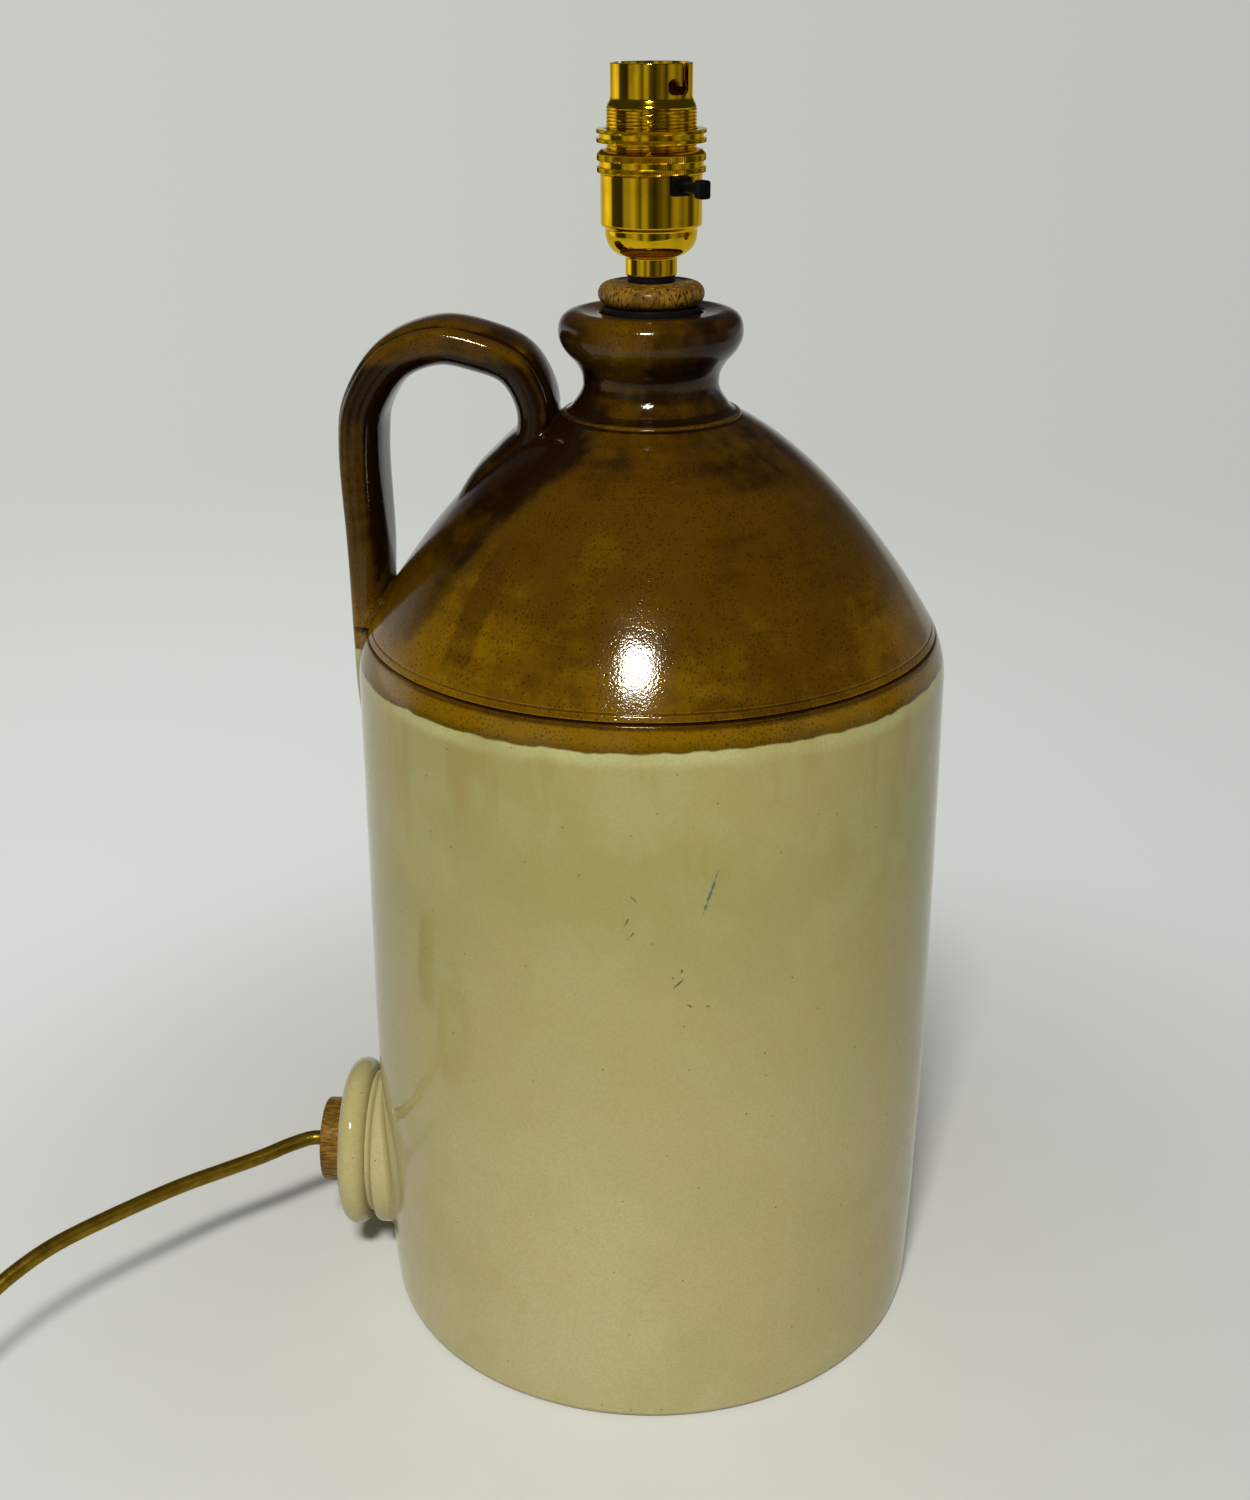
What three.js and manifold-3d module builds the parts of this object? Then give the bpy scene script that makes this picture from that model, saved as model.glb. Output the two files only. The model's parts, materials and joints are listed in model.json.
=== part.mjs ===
// Stoneware flagon lamp.
// Millimetres, +Z up. The origin is the centre of the flagon's foot, on the surface it stands on.
// The flagon's axis is Z. The handle and the flex outlet point to -X, and the front faces -Y.
import * as THREE from "three";
import { mergeVertices } from "three/addons/utils/BufferGeometryUtils.js";
import Module from "manifold-3d";

const wasm = await Module();
wasm.setup();

// Clearances
const gap = 0.3; // clay, wood, rubber and plastic against their neighbours
const running = 0.15; // between turned brass pieces
const seat = 0.1; // between pieces that are stacked or screwed together
const overrun = 2; // how far a cutter runs past what it cuts
const weld = 0.0005; // vertices closer than this are one

// Sides of the turned pieces
const flagonSides = 44;
const brassSides = 34;
const potterySides = 32;
const woodSides = 28;
const smallSides = 14;

// Flagon: one pot, thrown, with its handle and outlet boss luted on before firing
const flagon = {
  footRadius: 98.5,
  footRound: 2.5,
  wallSwell: 2.9, // how far the wall stands out past the foot
  heelHollow: 1.1, // how far the heel's bend stays short of the wall
  heelHeight: 9,
  wallHeight: 100,
  edgeInset: 0.7, // from the wall in to the edge above it
  edgeHeight: 243,
  shoulderInset: 4, // from the wall in to the lower end of the shoulder
  shoulderRise: 15, // each rise is from the height named before it
  shoulderReach: 29.3,
  neckFootRadius: 29.8,
  neckFootRise: 73,
  ridgeRadius: 28,
  ridgeRise: 1.1,
  neckRadius: 22.4,
  neckRise: 9.4,
  neckFlareShare: 0.58, // how far up the neck its hollow bends
  collarTaperRadius: 27,
  collarTaperRise: 8.9,
  collarRadius: 30.3,
  collarRise: 7.3,
  rimRadius: 23.5,
  rimRise: 6.8,
  mouthRadius: 16.7,
  mouthDrop: 0.7, // from the rim down to the mouth's edge
  mouthRound: 0.7,
  boreRadius: 14.9,
  boreDrop: 2.7, // from the neck's foot down to the lower end of the bore
  wall: 8,
  floor: 10,
  innerRound: 8,
};
const wallRadius = flagon.footRadius + flagon.wallSwell;
const edgeRadius = wallRadius - flagon.edgeInset;
const shoulderHeight = flagon.edgeHeight + flagon.shoulderRise;
const neckFootHeight = shoulderHeight + flagon.neckFootRise;
const ridgeHeight = neckFootHeight + flagon.ridgeRise;
const neckHeight = ridgeHeight + flagon.neckRise;
const collarTaperHeight = neckHeight + flagon.collarTaperRise;
const collarHeight = collarTaperHeight + flagon.collarRise;
const rimHeight = collarHeight + flagon.rimRise;
const mouthHeight = rimHeight - flagon.mouthDrop;
const shoulderFootAngle = THREE.MathUtils.degToRad(61);
const shoulderTopAngle = THREE.MathUtils.degToRad(26);

// The outlet's bearing, and the handle's just behind it
const sideAzimuth = THREE.MathUtils.degToRad(177.5);
const handleAzimuth = THREE.MathUtils.degToRad(175.5);
const handle = {
  inset: 3.9, // from the wall's outside in to the middle of the strap's upright run
  nearest: 36.6, // from the axis to the middle of the strap beside the neck
  footDrop: 31, // from the wall's edge down to where the tail fades into the wall
  topDrop: 9.7, // from the rim down to the middle of the strap at its highest
  width: 34,
  thickness: 15.2,
  groove: 1.6,
};
const handleFoot = flagon.edgeHeight - handle.footDrop;
const handleTop = rimHeight - handle.topDrop;
// The strap's middle line from the tail to the pressed end:
// share of the way out from nearest, share of the way from foot to top, width, thickness
const strapShares = [
  [0.975, 0.0, 0.5, 0.66],
  [1.0, 0.14, 0.62, 0.76],
  [0.99, 0.3, 0.86, 0.87],
  [0.98, 0.506, 1.0, 0.96],
  [0.989, 0.756, 1.0, 1.0],
  [0.955, 0.85, 1.0, 1.0],
  [0.787, 0.954, 1.0, 1.0],
  [0.541, 0.996, 1.0, 1.0],
  [0.329, 0.984, 1.0, 1.0],
  [0.118, 0.945, 1.0, 0.96],
  [0.014, 0.861, 1.0, 0.9],
  [0.03, 0.785, 1.0, 0.82],
  [0.15, 0.735, 1.0, 0.76],
  [0.3, 0.675, 0.96, 0.7],
  [0.42, 0.6, 0.9, 0.64],
];
const strapSteps = 30;
const strapPoints = 20;
const strapCornerShare = 0.55; // how round the strap's outer face is, 1 for an ellipse
const strapInnerShare = 0.85;
const grooveShare = 0.66; // a groove's place across the half width
const grooveWidthShare = 0.16;

// Flex outlet low on the wall: a turned boss with a drilled wooden bung
const outlet = {
  height: 44.5,
  rootRadius: 31,
  rootSink: 13.4, // how far the bung and the boss's root reach in past the wall's outside
  waistStand: 3.6,
  waistRadius: 29.4,
  grooveStand: 2.2, // from the waist out to the groove
  grooveRadius: 27,
  rimRadius: 32,
  rimThickness: 8.6,
  rimStand: 1.1, // from the groove out to the back of the rim
  holeRadius: 15.6,
  holeTaper: 2.2,
  bungRadius: 16,
  bungProud: 9.3,
  bungRound: 1.4,
};
const rimSteps = 6;
const rootDepth = wallRadius - outlet.rootSink;
const waistDepth = wallRadius + outlet.waistStand;
const grooveDepth = waistDepth + outlet.grooveStand;
const rimBack = grooveDepth + outlet.rimStand;
const rimFace = rimBack + outlet.rimThickness;

// Flex
const flex = {
  radius: 2.8,
  coreRadius: 0.8,
  coreSpread: 1.7, // from the sheath's axis to a core's axis
  boreRadius: 3.2,
};

// Mouth fittings, from the collar up
const mouth = {
  bungPlay: 0.5, // from the mouth's edge in to the bung
  bungTailPlay: 0.4, // and from the bore in to its small end
  bungLength: 26,
  bungProud: 2.1,
  capRadius: 17.2,
  capThickness: 7.2,
  washerRadius: 7.7,
  washerThickness: 2,
  nippleRadius: 5,
  nippleBore: 3.6,
  nippleTail: 6.5,
  nippleHead: 6.6,
  nutFlats: 14,
  nutThickness: 4,
  plateRadius: 11,
  plateThickness: 1.2,
};
const capSteps = 6;

// Lampholder: heights are above its seat on the washer
const holder = {
  neckRadius: 8.3,
  neckHeight: 5.8,
  neckChamfer: 0.5,
  domeRadius: 14.7,
  domeHeight: 14,
  stepHeight: 15.6,
  bodyRadius: 16.15,
  bodyHeight: 31.2,
  collarRadius: 15.2, // threaded, under the union ring
  collarHeight: 36,
  wall: 1.5,
  domeWall: 1.6,
};
const barrel = {
  flangeRadius: 15,
  flangeThickness: 1.2,
  threadRadius: 14.2,
  threadTop: 50.8,
  coneTop: 53.6,
  radius: 12.9,
  top: 64,
  wall: 1.2,
  threadWall: 1.5,
  rimRound: 0.3,
};
const slot = {
  width: 3.1,
  depth: 9.2,
  runHeight: 2.5, // clear height of the run under the tongue
  seatWidth: 4.2,
  seatHeight: 4.7,
  corner: 1.2,
};
const slotTurn = THREE.MathUtils.degToRad(22); // from the entry leg's middle to the seat's
const slotAzimuth = THREE.MathUtils.degToRad(-35.5); // the entry leg of one of the two slots
const unionRing = {
  radius: 17.15,
  base: 31.3,
  lowRound: 0.6,
  lowBand: 33.4,
  groove: 35.2,
  highBand: 37.4,
  bevelRadius: 15.7,
  top: 38.55,
  grooveDepth: 0.7,
};
const shadeRing = {
  radius: 17.25,
  base: 40.6,
  lowBand: 41.9,
  highBand: 43.4,
  top: 44.6,
  grooveDepth: 0.8,
};

// Works of the lampholder
const works = {
  radius: 14.2,
  base: 16.2,
  top: 32.3,
  blockShoulder: 35.9,
  blockRadius: 12.1,
  blockTop: 44.7,
  contactPitch: 8,
  lip: 1,
  wellFloor: 33.7,
  wellRadius: 2.6,
  screwHead: 1.8,
  screwHeadHeight: 1.4,
  screwRadius: 1,
  screwLength: 5,
  screwPitchRadius: 7,
};
const plunger = {
  radius: 1.75,
  collarRadius: 2.4,
  collarThickness: 1.5,
  proud: 7,
  domeHeight: 1,
};
const spring = {
  coilRadius: 1.9,
  wireRadius: 0.28,
};
const springTurns = 5;
const springSteps = 8;
const springSides = 5;

// Push bar of the switch, drawn fully out on the front side
const bar = {
  height: 28.4,
  radius: 1.75,
  knobHeight: 5.6,
  knobWidth: 3.6,
  knobLength: 4.6,
  knobRound: 0.7,
  travel: 7.8,
  stop: 0.4,
};
const barAzimuth = THREE.MathUtils.degToRad(-56.5);
const bush = {
  width: 6.5,
  height: 5.6,
  proud: 1.3,
  shankWidth: 5,
  shankHeight: 4.8,
};

// Coil of the length put away beside the lamp
const coil = {
  centreX: -302,
  centreY: -92,
  middleRadius: 33,
  pitch: 6.35,
  layer: 6.3,
};
const coilTurns = 8.25;
const coilStepsPerTurn = 24;
const coilSides = 6;

// Mains plug, lying on its cover with the pins up
const plug = {
  fromCoil: 48,
  width: 50,
  entryWidth: 34,
  length: 50,
  entryLength: 12,
  corner: 9,
  coverHeight: 16,
  baseHeight: 8,
  wall: 2.2,
  round: 1.5,
  pinPitch: 22.2,
  earthPitch: 22.2,
  pinsFrom: 16,
  pinWidth: 6.35,
  pinThickness: 4,
  pinLength: 17.7,
  earthWidth: 4,
  earthThickness: 8,
  earthLength: 22.7,
  pinRoot: 4,
  pinChamfer: 0.8,
  fuseRadius: 3.15,
  fuseLength: 25.4,
  fuseOffset: 17,
  gripWidth: 17,
  gripDepth: 6,
  gripHeight: 3,
  gripFrom: 5,
  gripScrewPitch: 12,
  screwRadius: 1.6,
  screwHead: 3.1,
  screwHeadHeight: 2,
  postRadius: 4,
};

// Small geometry tools

const at = (x, y) => new THREE.Vector2(x, y);
const point = (x, y, z) => new THREE.Vector3(x, y, z);
const straight = (from, to) => [new THREE.LineCurve(from, to), 1];
const bend = (from, corner, to, steps) => [new THREE.QuadraticBezierCurve(from, corner, to), steps];

// Points along a row of curves, each given with its number of steps
function traced(runs) {
  const points = [];
  for (const [curve, steps] of runs) {
    const found = curve.getPoints(steps);
    points.push(...(points.length ? found.slice(1) : found));
  }
  return points;
}

// A turned piece about Z: its profile runs out from the axis at the bottom and back to it at the top,
// or goes round once, up the outside first, and closes on itself
function turned(profile, sides) {
  return new THREE.LatheGeometry(profile, sides).rotateX(Math.PI / 2);
}

// A turned ring or tube: the profile's last point joins its first
function turnedRing(profile, sides) {
  return turned([...profile, profile[0].clone()], sides);
}

function cylinder(radius, from, to, sides) {
  return turned([at(0, from), at(radius, from), at(radius, to), at(0, to)], sides);
}

function box(width, depth, height) {
  return new THREE.BoxGeometry(width, depth, height);
}

// A flat outline given thickness along Z
function plate(shape, from, to, curveSegments) {
  return new THREE.ExtrudeGeometry(shape, { depth: to - from, bevelEnabled: false, curveSegments })
    .translate(0, 0, from);
}

// A round tube along a curve, with flat ends
function tube(curve, radius, sides, steps) {
  const corners = Array.from({ length: sides }, (_, i) => {
    const angle = (2 * Math.PI * i) / sides;
    return at(radius * Math.cos(angle), radius * Math.sin(angle));
  });
  return new THREE.ExtrudeGeometry(new THREE.Shape(corners), { steps, extrudePath: curve });
}

// A closed skin through rings of points, each ring turning right-handed about the way they follow
function skinned(rings) {
  const count = rings[0].length;
  const corners = rings.flat();
  const middle = (ring) => ring.reduce((sum, p) => sum.add(p), point(0, 0, 0)).divideScalar(count);
  const first = corners.length;
  corners.push(middle(rings[0]), middle(rings[rings.length - 1]));
  const faces = [];
  for (let j = 0; j < count; j++) {
    const next = (j + 1) % count;
    for (let i = 0; i + 1 < rings.length; i++) {
      const low = i * count;
      const high = low + count;
      faces.push(low + j, low + next, high + next, low + j, high + next, high + j);
    }
    const last = (rings.length - 1) * count;
    faces.push(first, next, j, first + 1, last + j, last + next);
  }
  return new THREE.BufferGeometry().setFromPoints(corners).setIndex(faces);
}

// A round wire through a row of centres that mostly run level, as one unbroken tube
function wire(centres, radius, sides) {
  const up = point(0, 0, 1);
  const rings = centres.map((centre, i) => {
    const before = centres[Math.max(i - 1, 0)];
    const after = centres[Math.min(i + 1, centres.length - 1)];
    const along = after.clone().sub(before).normalize();
    const side = up.clone().cross(along).normalize();
    const rise = along.clone().cross(side);
    return Array.from({ length: sides }, (_, j) => {
      const angle = (2 * Math.PI * j) / sides;
      return centre.clone()
        .addScaledVector(side, radius * Math.cos(angle))
        .addScaledVector(rise, radius * Math.sin(angle));
    });
  });
  return skinned(rings);
}

// Cutting and joining

function solid(geometry) {
  const loose = geometry.index ? geometry.toNonIndexed() : geometry;
  const bare = new THREE.BufferGeometry().setAttribute("position", loose.getAttribute("position"));
  const joined = mergeVertices(bare, weld);
  const corners = joined.index.array;
  const faces = [];
  for (let i = 0; i < corners.length; i += 3) {
    const [a, b, c] = corners.slice(i, i + 3);
    if (a !== b && b !== c && c !== a) faces.push(a, b, c);
  }
  return new wasm.Manifold(
    new wasm.Mesh({
      numProp: 3,
      vertProperties: joined.attributes.position.array,
      triVerts: Uint32Array.from(faces),
    }),
  );
}

function geometryOf(body) {
  const mesh = body.getMesh();
  return new THREE.BufferGeometry()
    .setAttribute("position", new THREE.BufferAttribute(mesh.vertProperties, 3))
    .setIndex(new THREE.BufferAttribute(mesh.triVerts, 1));
}

function cutBy(geometry, ...cutters) {
  return geometryOf(cutters.reduce((body, cutter) => body.subtract(solid(cutter)), solid(geometry)));
}

function joinedWith(geometry, ...others) {
  return geometryOf(others.reduce((body, other) => body.add(solid(other)), solid(geometry)));
}

// Finishes
const finishes = {
  creamGlaze: { color: 0xa8a070, roughness: 0.18, metalness: 0 },
  brownGlaze: { color: 0x6e4a14, roughness: 0.15, metalness: 0 },
  brass: { color: 0xb8902c, roughness: 0.22, metalness: 1 },
  steel: { color: 0x9a9c9e, roughness: 0.35, metalness: 1 },
  wood: { color: 0x7a4a1c, roughness: 0.45, metalness: 0 },
  rubber: { color: 0x141414, roughness: 0.7, metalness: 0 },
  blackPlastic: { color: 0x0d0d0e, roughness: 0.35, metalness: 0 },
  ceramic: { color: 0xe6e0d2, roughness: 0.4, metalness: 0 },
  goldFlex: { color: 0x5c4512, roughness: 0.3, metalness: 0.2 },
  brownCore: { color: 0x4a2a14, roughness: 0.5, metalness: 0 },
  blueCore: { color: 0x1f4a8a, roughness: 0.5, metalness: 0 },
  greenCore: { color: 0x5e8a2c, roughness: 0.5, metalness: 0 },
};

function piece(group, name, geometry, finish) {
  const mesh = new THREE.Mesh(geometry, new THREE.MeshStandardMaterial(finishes[finish]));
  mesh.name = name;
  group.add(mesh);
  return mesh;
}

// A group whose +Z points level, out from the lamp's axis
function outwardGroup(parent, azimuth, height) {
  const group = new THREE.Group();
  group.position.set(0, 0, height);
  group.rotation.set(0, Math.PI / 2, azimuth, "ZYX");
  parent.add(group);
  return group;
}

function raisedGroup(parent, height) {
  const group = new THREE.Group();
  group.position.set(0, 0, height);
  parent.add(group);
  return group;
}

// Flagon

// The slope from the wall's edge up to the neck, pulled in from the outside by a wall or by nothing
function shoulderCurve(inset) {
  const { shoulderInset, shoulderReach, neckFootRadius } = flagon;
  const drop = inset / 2;
  const low = at(wallRadius - shoulderInset - inset, shoulderHeight - drop);
  const high = at(neckFootRadius - inset, neckFootHeight - drop);
  const lowPull = at(-Math.cos(shoulderFootAngle), Math.sin(shoulderFootAngle)).multiplyScalar(shoulderReach);
  const highPull = at(Math.cos(shoulderTopAngle), -Math.sin(shoulderTopAngle)).multiplyScalar(shoulderReach);
  return new THREE.CubicBezierCurve(low, low.clone().add(lowPull), high.clone().add(highPull), high);
}

// The outside from the middle of the foot to the mouth
function flagonOutline() {
  const f = flagon;
  const shoulder = shoulderCurve(0);
  const footIn = at(f.footRadius - f.footRound, 0);
  const footOut = at(f.footRadius, f.footRound);
  const wall = at(wallRadius, f.wallHeight);
  const edge = at(edgeRadius, f.edgeHeight);
  const ridge = at(f.ridgeRadius, ridgeHeight);
  const neck = at(f.neckRadius, neckHeight);
  const taper = at(f.collarTaperRadius, collarTaperHeight);
  const collar = at(f.collarRadius, collarHeight);
  const rim = at(f.rimRadius, rimHeight);
  const lip = at(f.mouthRadius + f.mouthRound, mouthHeight);
  const mouthEdge = at(f.mouthRadius, mouthHeight - f.mouthRound);
  return traced([
    straight(at(0, 0), footIn),
    bend(footIn, at(f.footRadius, 0), footOut, 2),
    bend(footOut, at(wallRadius - f.heelHollow, f.heelHeight), wall, 3),
    straight(wall, edge),
    bend(edge, at(edgeRadius, (f.edgeHeight + shoulderHeight) / 2), shoulder.v0, 3),
    [shoulder, 6],
    bend(shoulder.v3, at(f.neckFootRadius, ridgeHeight), ridge, 2),
    bend(ridge, at(f.neckRadius, ridgeHeight + f.neckFlareShare * f.neckRise), neck, 3),
    bend(neck, at(f.neckRadius, (neckHeight + collarTaperHeight) / 2), taper, 2),
    bend(taper, at(f.collarRadius, (collarTaperHeight + collarHeight) / 2), collar, 3),
    bend(collar, at(f.collarRadius, rimHeight), rim, 4),
    straight(rim, lip),
    straight(lip, mouthEdge),
  ]);
}

// The inside from the mouth down to the middle of the floor
function flagonInside() {
  const f = flagon;
  const cavity = wallRadius - f.wall;
  const shoulder = shoulderCurve(f.wall);
  const slope = shoulder.getPoints(3).reverse();
  const floorRound = traced([
    bend(at(cavity, f.floor + f.innerRound), at(cavity, f.floor), at(cavity - f.innerRound, f.floor), 2),
  ]);
  return [
    at(f.boreRadius, neckHeight),
    at(f.boreRadius, neckFootHeight - f.boreDrop),
    ...slope,
    at(cavity, f.edgeHeight),
    ...floorRound,
    at(0, f.floor),
  ];
}

// The flagon's outside as a full solid, grown by a clearance, to trim what is luted on
function flagonForm(growth) {
  const grown = flagonOutline().map((p) => at(p.x + (p.x > 0 ? growth : 0), p.y));
  return turned([...grown, at(0, mouthHeight)], flagonSides);
}

function flagonBody() {
  const shell = turned([...flagonOutline(), ...flagonInside()], flagonSides);
  const holeFrom = rootDepth - flagon.wall;
  const hole = cylinder(outlet.holeRadius, holeFrom, wallRadius + overrun, potterySides);
  return cutBy(shell, hole.applyMatrix4(outletGroup.matrixWorld));
}

// One slice across the strap: flat ellipse with three ridges on its outer face
function strapSlice(centre, outward, across, width, thickness, groove) {
  return Array.from({ length: strapPoints }, (_, i) => {
    const angle = (2 * Math.PI * i) / strapPoints;
    const c = Math.cos(angle);
    const s = Math.sin(angle);
    const w = Math.sign(c) * Math.abs(c) ** strapCornerShare;
    const n = Math.sign(s) * Math.abs(s) ** (s > 0 ? strapCornerShare : strapInnerShare);
    const near = Math.min(Math.abs(Math.abs(w) - grooveShare) / grooveWidthShare, 1);
    const sunk = s > 0 ? groove * (1 - near) : 0;
    return centre.clone()
      .addScaledVector(across, (w * width) / 2)
      .addScaledVector(outward, (n * thickness) / 2 - sunk);
  });
}

// The handle in its own frame: X out from the axis, Z up, Y across the strap
function handleStrap() {
  const spanOut = wallRadius - handle.inset - handle.nearest;
  const spanUp = handleTop - handleFoot;
  const spots = strapShares.map(([out, up]) => (
    point(handle.nearest + out * spanOut, 0, handleFoot + up * spanUp)
  ));
  const curve = new THREE.CatmullRomCurve3(spots);
  const across = point(0, -1, 0);
  const rings = [];
  for (let i = 0; i <= strapSteps; i++) {
    const t = i / strapSteps;
    const along = curve.getTangent(t);
    const outward = along.clone().cross(across);
    const row = t * (strapShares.length - 1);
    const low = strapShares[Math.floor(row)];
    const high = strapShares[Math.ceil(row)];
    const share = (column) => THREE.MathUtils.lerp(low[column], high[column], row - Math.floor(row));
    rings.push(strapSlice(
      curve.getPoint(t), outward, across, handle.width * share(2), handle.thickness * share(3), handle.groove,
    ));
  }
  return skinned(rings);
}

// The boss's section round its bore, in its own frame: +Z is out from the lamp's axis
function outletBoss() {
  const o = outlet;
  const half = o.rimThickness / 2;
  const middle = at(o.rimRadius - half, rimBack + half);
  const rim = new THREE.EllipseCurve(middle.x, middle.y, half, half, -Math.PI / 2, Math.PI / 2);
  const root = at(o.rootRadius, wallRadius);
  const waist = at(o.waistRadius, waistDepth);
  const groove = at(o.grooveRadius, grooveDepth);
  const profile = [
    at(o.holeRadius - o.holeTaper, rootDepth),
    at(o.rootRadius, rootDepth),
    ...traced([
      bend(root, at(o.rootRadius, waistDepth), waist, 3),
      bend(waist, at(o.grooveRadius, waistDepth), groove, 2),
    ]),
    at(o.grooveRadius, rimBack),
    ...rim.getPoints(rimSteps),
    at(o.holeRadius + o.bungRound / 2, rimFace),
    at(o.holeRadius, rimFace - o.bungRound / 2),
  ];
  const trim = flagonForm(gap).applyMatrix4(outletGroup.matrixWorld.clone().invert());
  return cutBy(turnedRing(profile, potterySides), trim);
}

function outletBung() {
  const o = outlet;
  const end = rimFace + o.bungProud;
  const corner = at(o.bungRadius, end);
  const profile = [
    at(flex.boreRadius, rootDepth),
    at(o.holeRadius - o.holeTaper - gap, rootDepth),
    at(o.holeRadius - gap, rimFace - o.bungRound / 2),
    at(o.holeRadius - gap, rimFace + gap),
    at(o.bungRadius, rimFace + gap),
    ...traced([bend(at(o.bungRadius, end - o.bungRound), corner, at(o.bungRadius - o.bungRound, end), 3)]),
    at(flex.boreRadius, end),
  ];
  return turnedRing(profile, woodSides);
}

// Mouth fittings, in a frame at the mouth's height

function mouthBung() {
  const m = mouth;
  const radius = flagon.mouthRadius - m.bungPlay - gap;
  return turnedRing([
    at(m.nippleRadius + gap, -m.bungLength),
    at(flagon.boreRadius - m.bungTailPlay - gap, -m.bungLength),
    at(radius, 0),
    at(radius, m.bungProud),
    at(m.nippleRadius + gap, m.bungProud),
  ], woodSides);
}

function woodenCap() {
  const m = mouth;
  const base = m.bungProud + seat;
  const half = m.capThickness / 2;
  const edge = new THREE.EllipseCurve(m.capRadius - half, base + half, half, half, -Math.PI / 2, Math.PI / 2);
  return turnedRing([
    at(m.nippleRadius + gap, base),
    ...edge.getPoints(capSteps),
    at(m.nippleRadius + gap, base + m.capThickness),
  ], woodSides);
}

const washerBase = mouth.bungProud + mouth.capThickness + 2 * seat;
const holderSeat = washerBase + mouth.washerThickness + seat;

function ring(innerRadius, outerRadius, from, to, sides) {
  const low = [at(innerRadius, from), at(outerRadius, from)];
  const high = [at(outerRadius, to), at(innerRadius, to)];
  return turnedRing([...low, ...high], sides);
}

function hexagonNut(flats, bore, from, to) {
  const corner = flats / Math.sqrt(3);
  const shape = new THREE.Shape(Array.from({ length: 6 }, (_, i) => {
    const angle = (Math.PI * i) / 3;
    return at(corner * Math.cos(angle), corner * Math.sin(angle));
  }));
  return cutBy(plate(shape, from, to), cylinder(bore, from - overrun, to + overrun, smallSides));
}

// Lampholder

function holderHousing() {
  const h = holder;
  const bore = mouth.nippleRadius + running;
  const inner = h.bodyRadius - h.wall;
  const innerDome = h.domeRadius - h.domeWall;
  const neckTop = at(h.neckRadius, h.neckHeight);
  const dome = at(h.domeRadius, h.domeHeight);
  const step = at(h.bodyRadius, h.stepHeight);
  const outside = [
    at(bore, 0),
    at(h.neckRadius - h.neckChamfer, 0),
    at(h.neckRadius, h.neckChamfer),
    ...traced([
      bend(neckTop, at(h.domeRadius, h.neckHeight + h.domeWall), dome, 5),
      bend(dome, at(h.domeRadius, h.stepHeight), step, 2),
    ]),
    at(h.bodyRadius, h.bodyHeight),
    at(h.collarRadius, h.bodyHeight),
    at(h.collarRadius, h.collarHeight),
  ];
  const ledge = works.base - seat;
  const roof = h.neckHeight + 2 * h.domeWall;
  const inside = [
    at(inner, h.collarHeight),
    at(inner, ledge),
    ...traced([bend(at(innerDome, ledge), at(innerDome, roof), at(h.neckRadius, roof), 4)]),
    at(bore, h.neckHeight + h.domeWall),
  ];
  const across = 2 * (h.bodyRadius + overrun);
  const openings = box(bush.shankHeight + 2 * running, bush.shankWidth + 2 * running, across);
  return cutBy(turnedRing([...outside, ...inside], brassSides), openings.applyMatrix4(barGroup.matrix));
}

// One slot's outline on a flat: an entry leg down from the rim, a run along and a wider seat at its end
function slotShape() {
  const half = slot.width / 2;
  const floor = barrel.top - slot.depth;
  const tongue = floor + slot.runHeight;
  const seatTop = floor + slot.seatHeight;
  const middle = -barrel.radius * slotTurn;
  const near = middle + slot.seatWidth / 2;
  const far = middle - slot.seatWidth / 2;
  const c = slot.corner;
  return new THREE.Shape([
    at(half, barrel.top + overrun),
    at(-half, barrel.top + overrun),
    at(-half, tongue),
    at(near, tongue),
    at(near, seatTop - c),
    at(near - c, seatTop),
    at(far + c, seatTop),
    at(far, seatTop - c),
    at(far, floor + c),
    at(far + c, floor),
    at(half - c, floor),
    at(half, floor + c),
  ]);
}

// The slot's cutter stands on the tangent plane half way along the run, seen from outside
function slotCutter(azimuth) {
  const depth = barrel.wall + overrun;
  const cutter = plate(slotShape(), -depth, overrun, 3);
  cutter.translate((barrel.radius * slotTurn) / 2, 0, barrel.radius);
  return cutter.rotateX(Math.PI / 2).rotateZ(Math.PI / 2 + azimuth - slotTurn / 2);
}

function holderBarrel() {
  const b = barrel;
  const base = holder.collarHeight + seat;
  const threadInner = b.threadRadius - b.threadWall;
  const inner = b.radius - b.wall;
  const profile = [
    at(threadInner, base),
    at(b.flangeRadius, base),
    at(b.flangeRadius, base + b.flangeThickness),
    at(b.threadRadius, base + b.flangeThickness),
    at(b.threadRadius, b.threadTop),
    at(b.radius, b.coneTop),
    at(b.radius, b.top - b.rimRound),
    at(b.radius - b.rimRound, b.top),
    at(inner, b.top),
    at(inner, b.coneTop),
    at(threadInner, b.threadTop),
  ];
  return cutBy(turnedRing(profile, brassSides), slotCutter(slotAzimuth), slotCutter(slotAzimuth + Math.PI));
}

function unionRingBody() {
  const u = unionRing;
  const bore = holder.collarRadius + running;
  const lip = holder.collarHeight + barrel.flangeThickness + 2 * seat;
  const lipBore = barrel.threadRadius + running;
  return turnedRing([
    at(bore, u.base),
    at(u.radius - u.lowRound, u.base),
    at(u.radius, u.base + u.lowRound),
    at(u.radius, u.lowBand),
    at(u.radius - u.grooveDepth, u.lowBand),
    at(u.radius - u.grooveDepth, u.groove),
    at(u.radius, u.groove),
    at(u.radius, u.highBand),
    at(u.bevelRadius, u.top),
    at(lipBore, u.top),
    at(lipBore, lip),
    at(bore, lip),
  ], brassSides);
}

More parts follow.
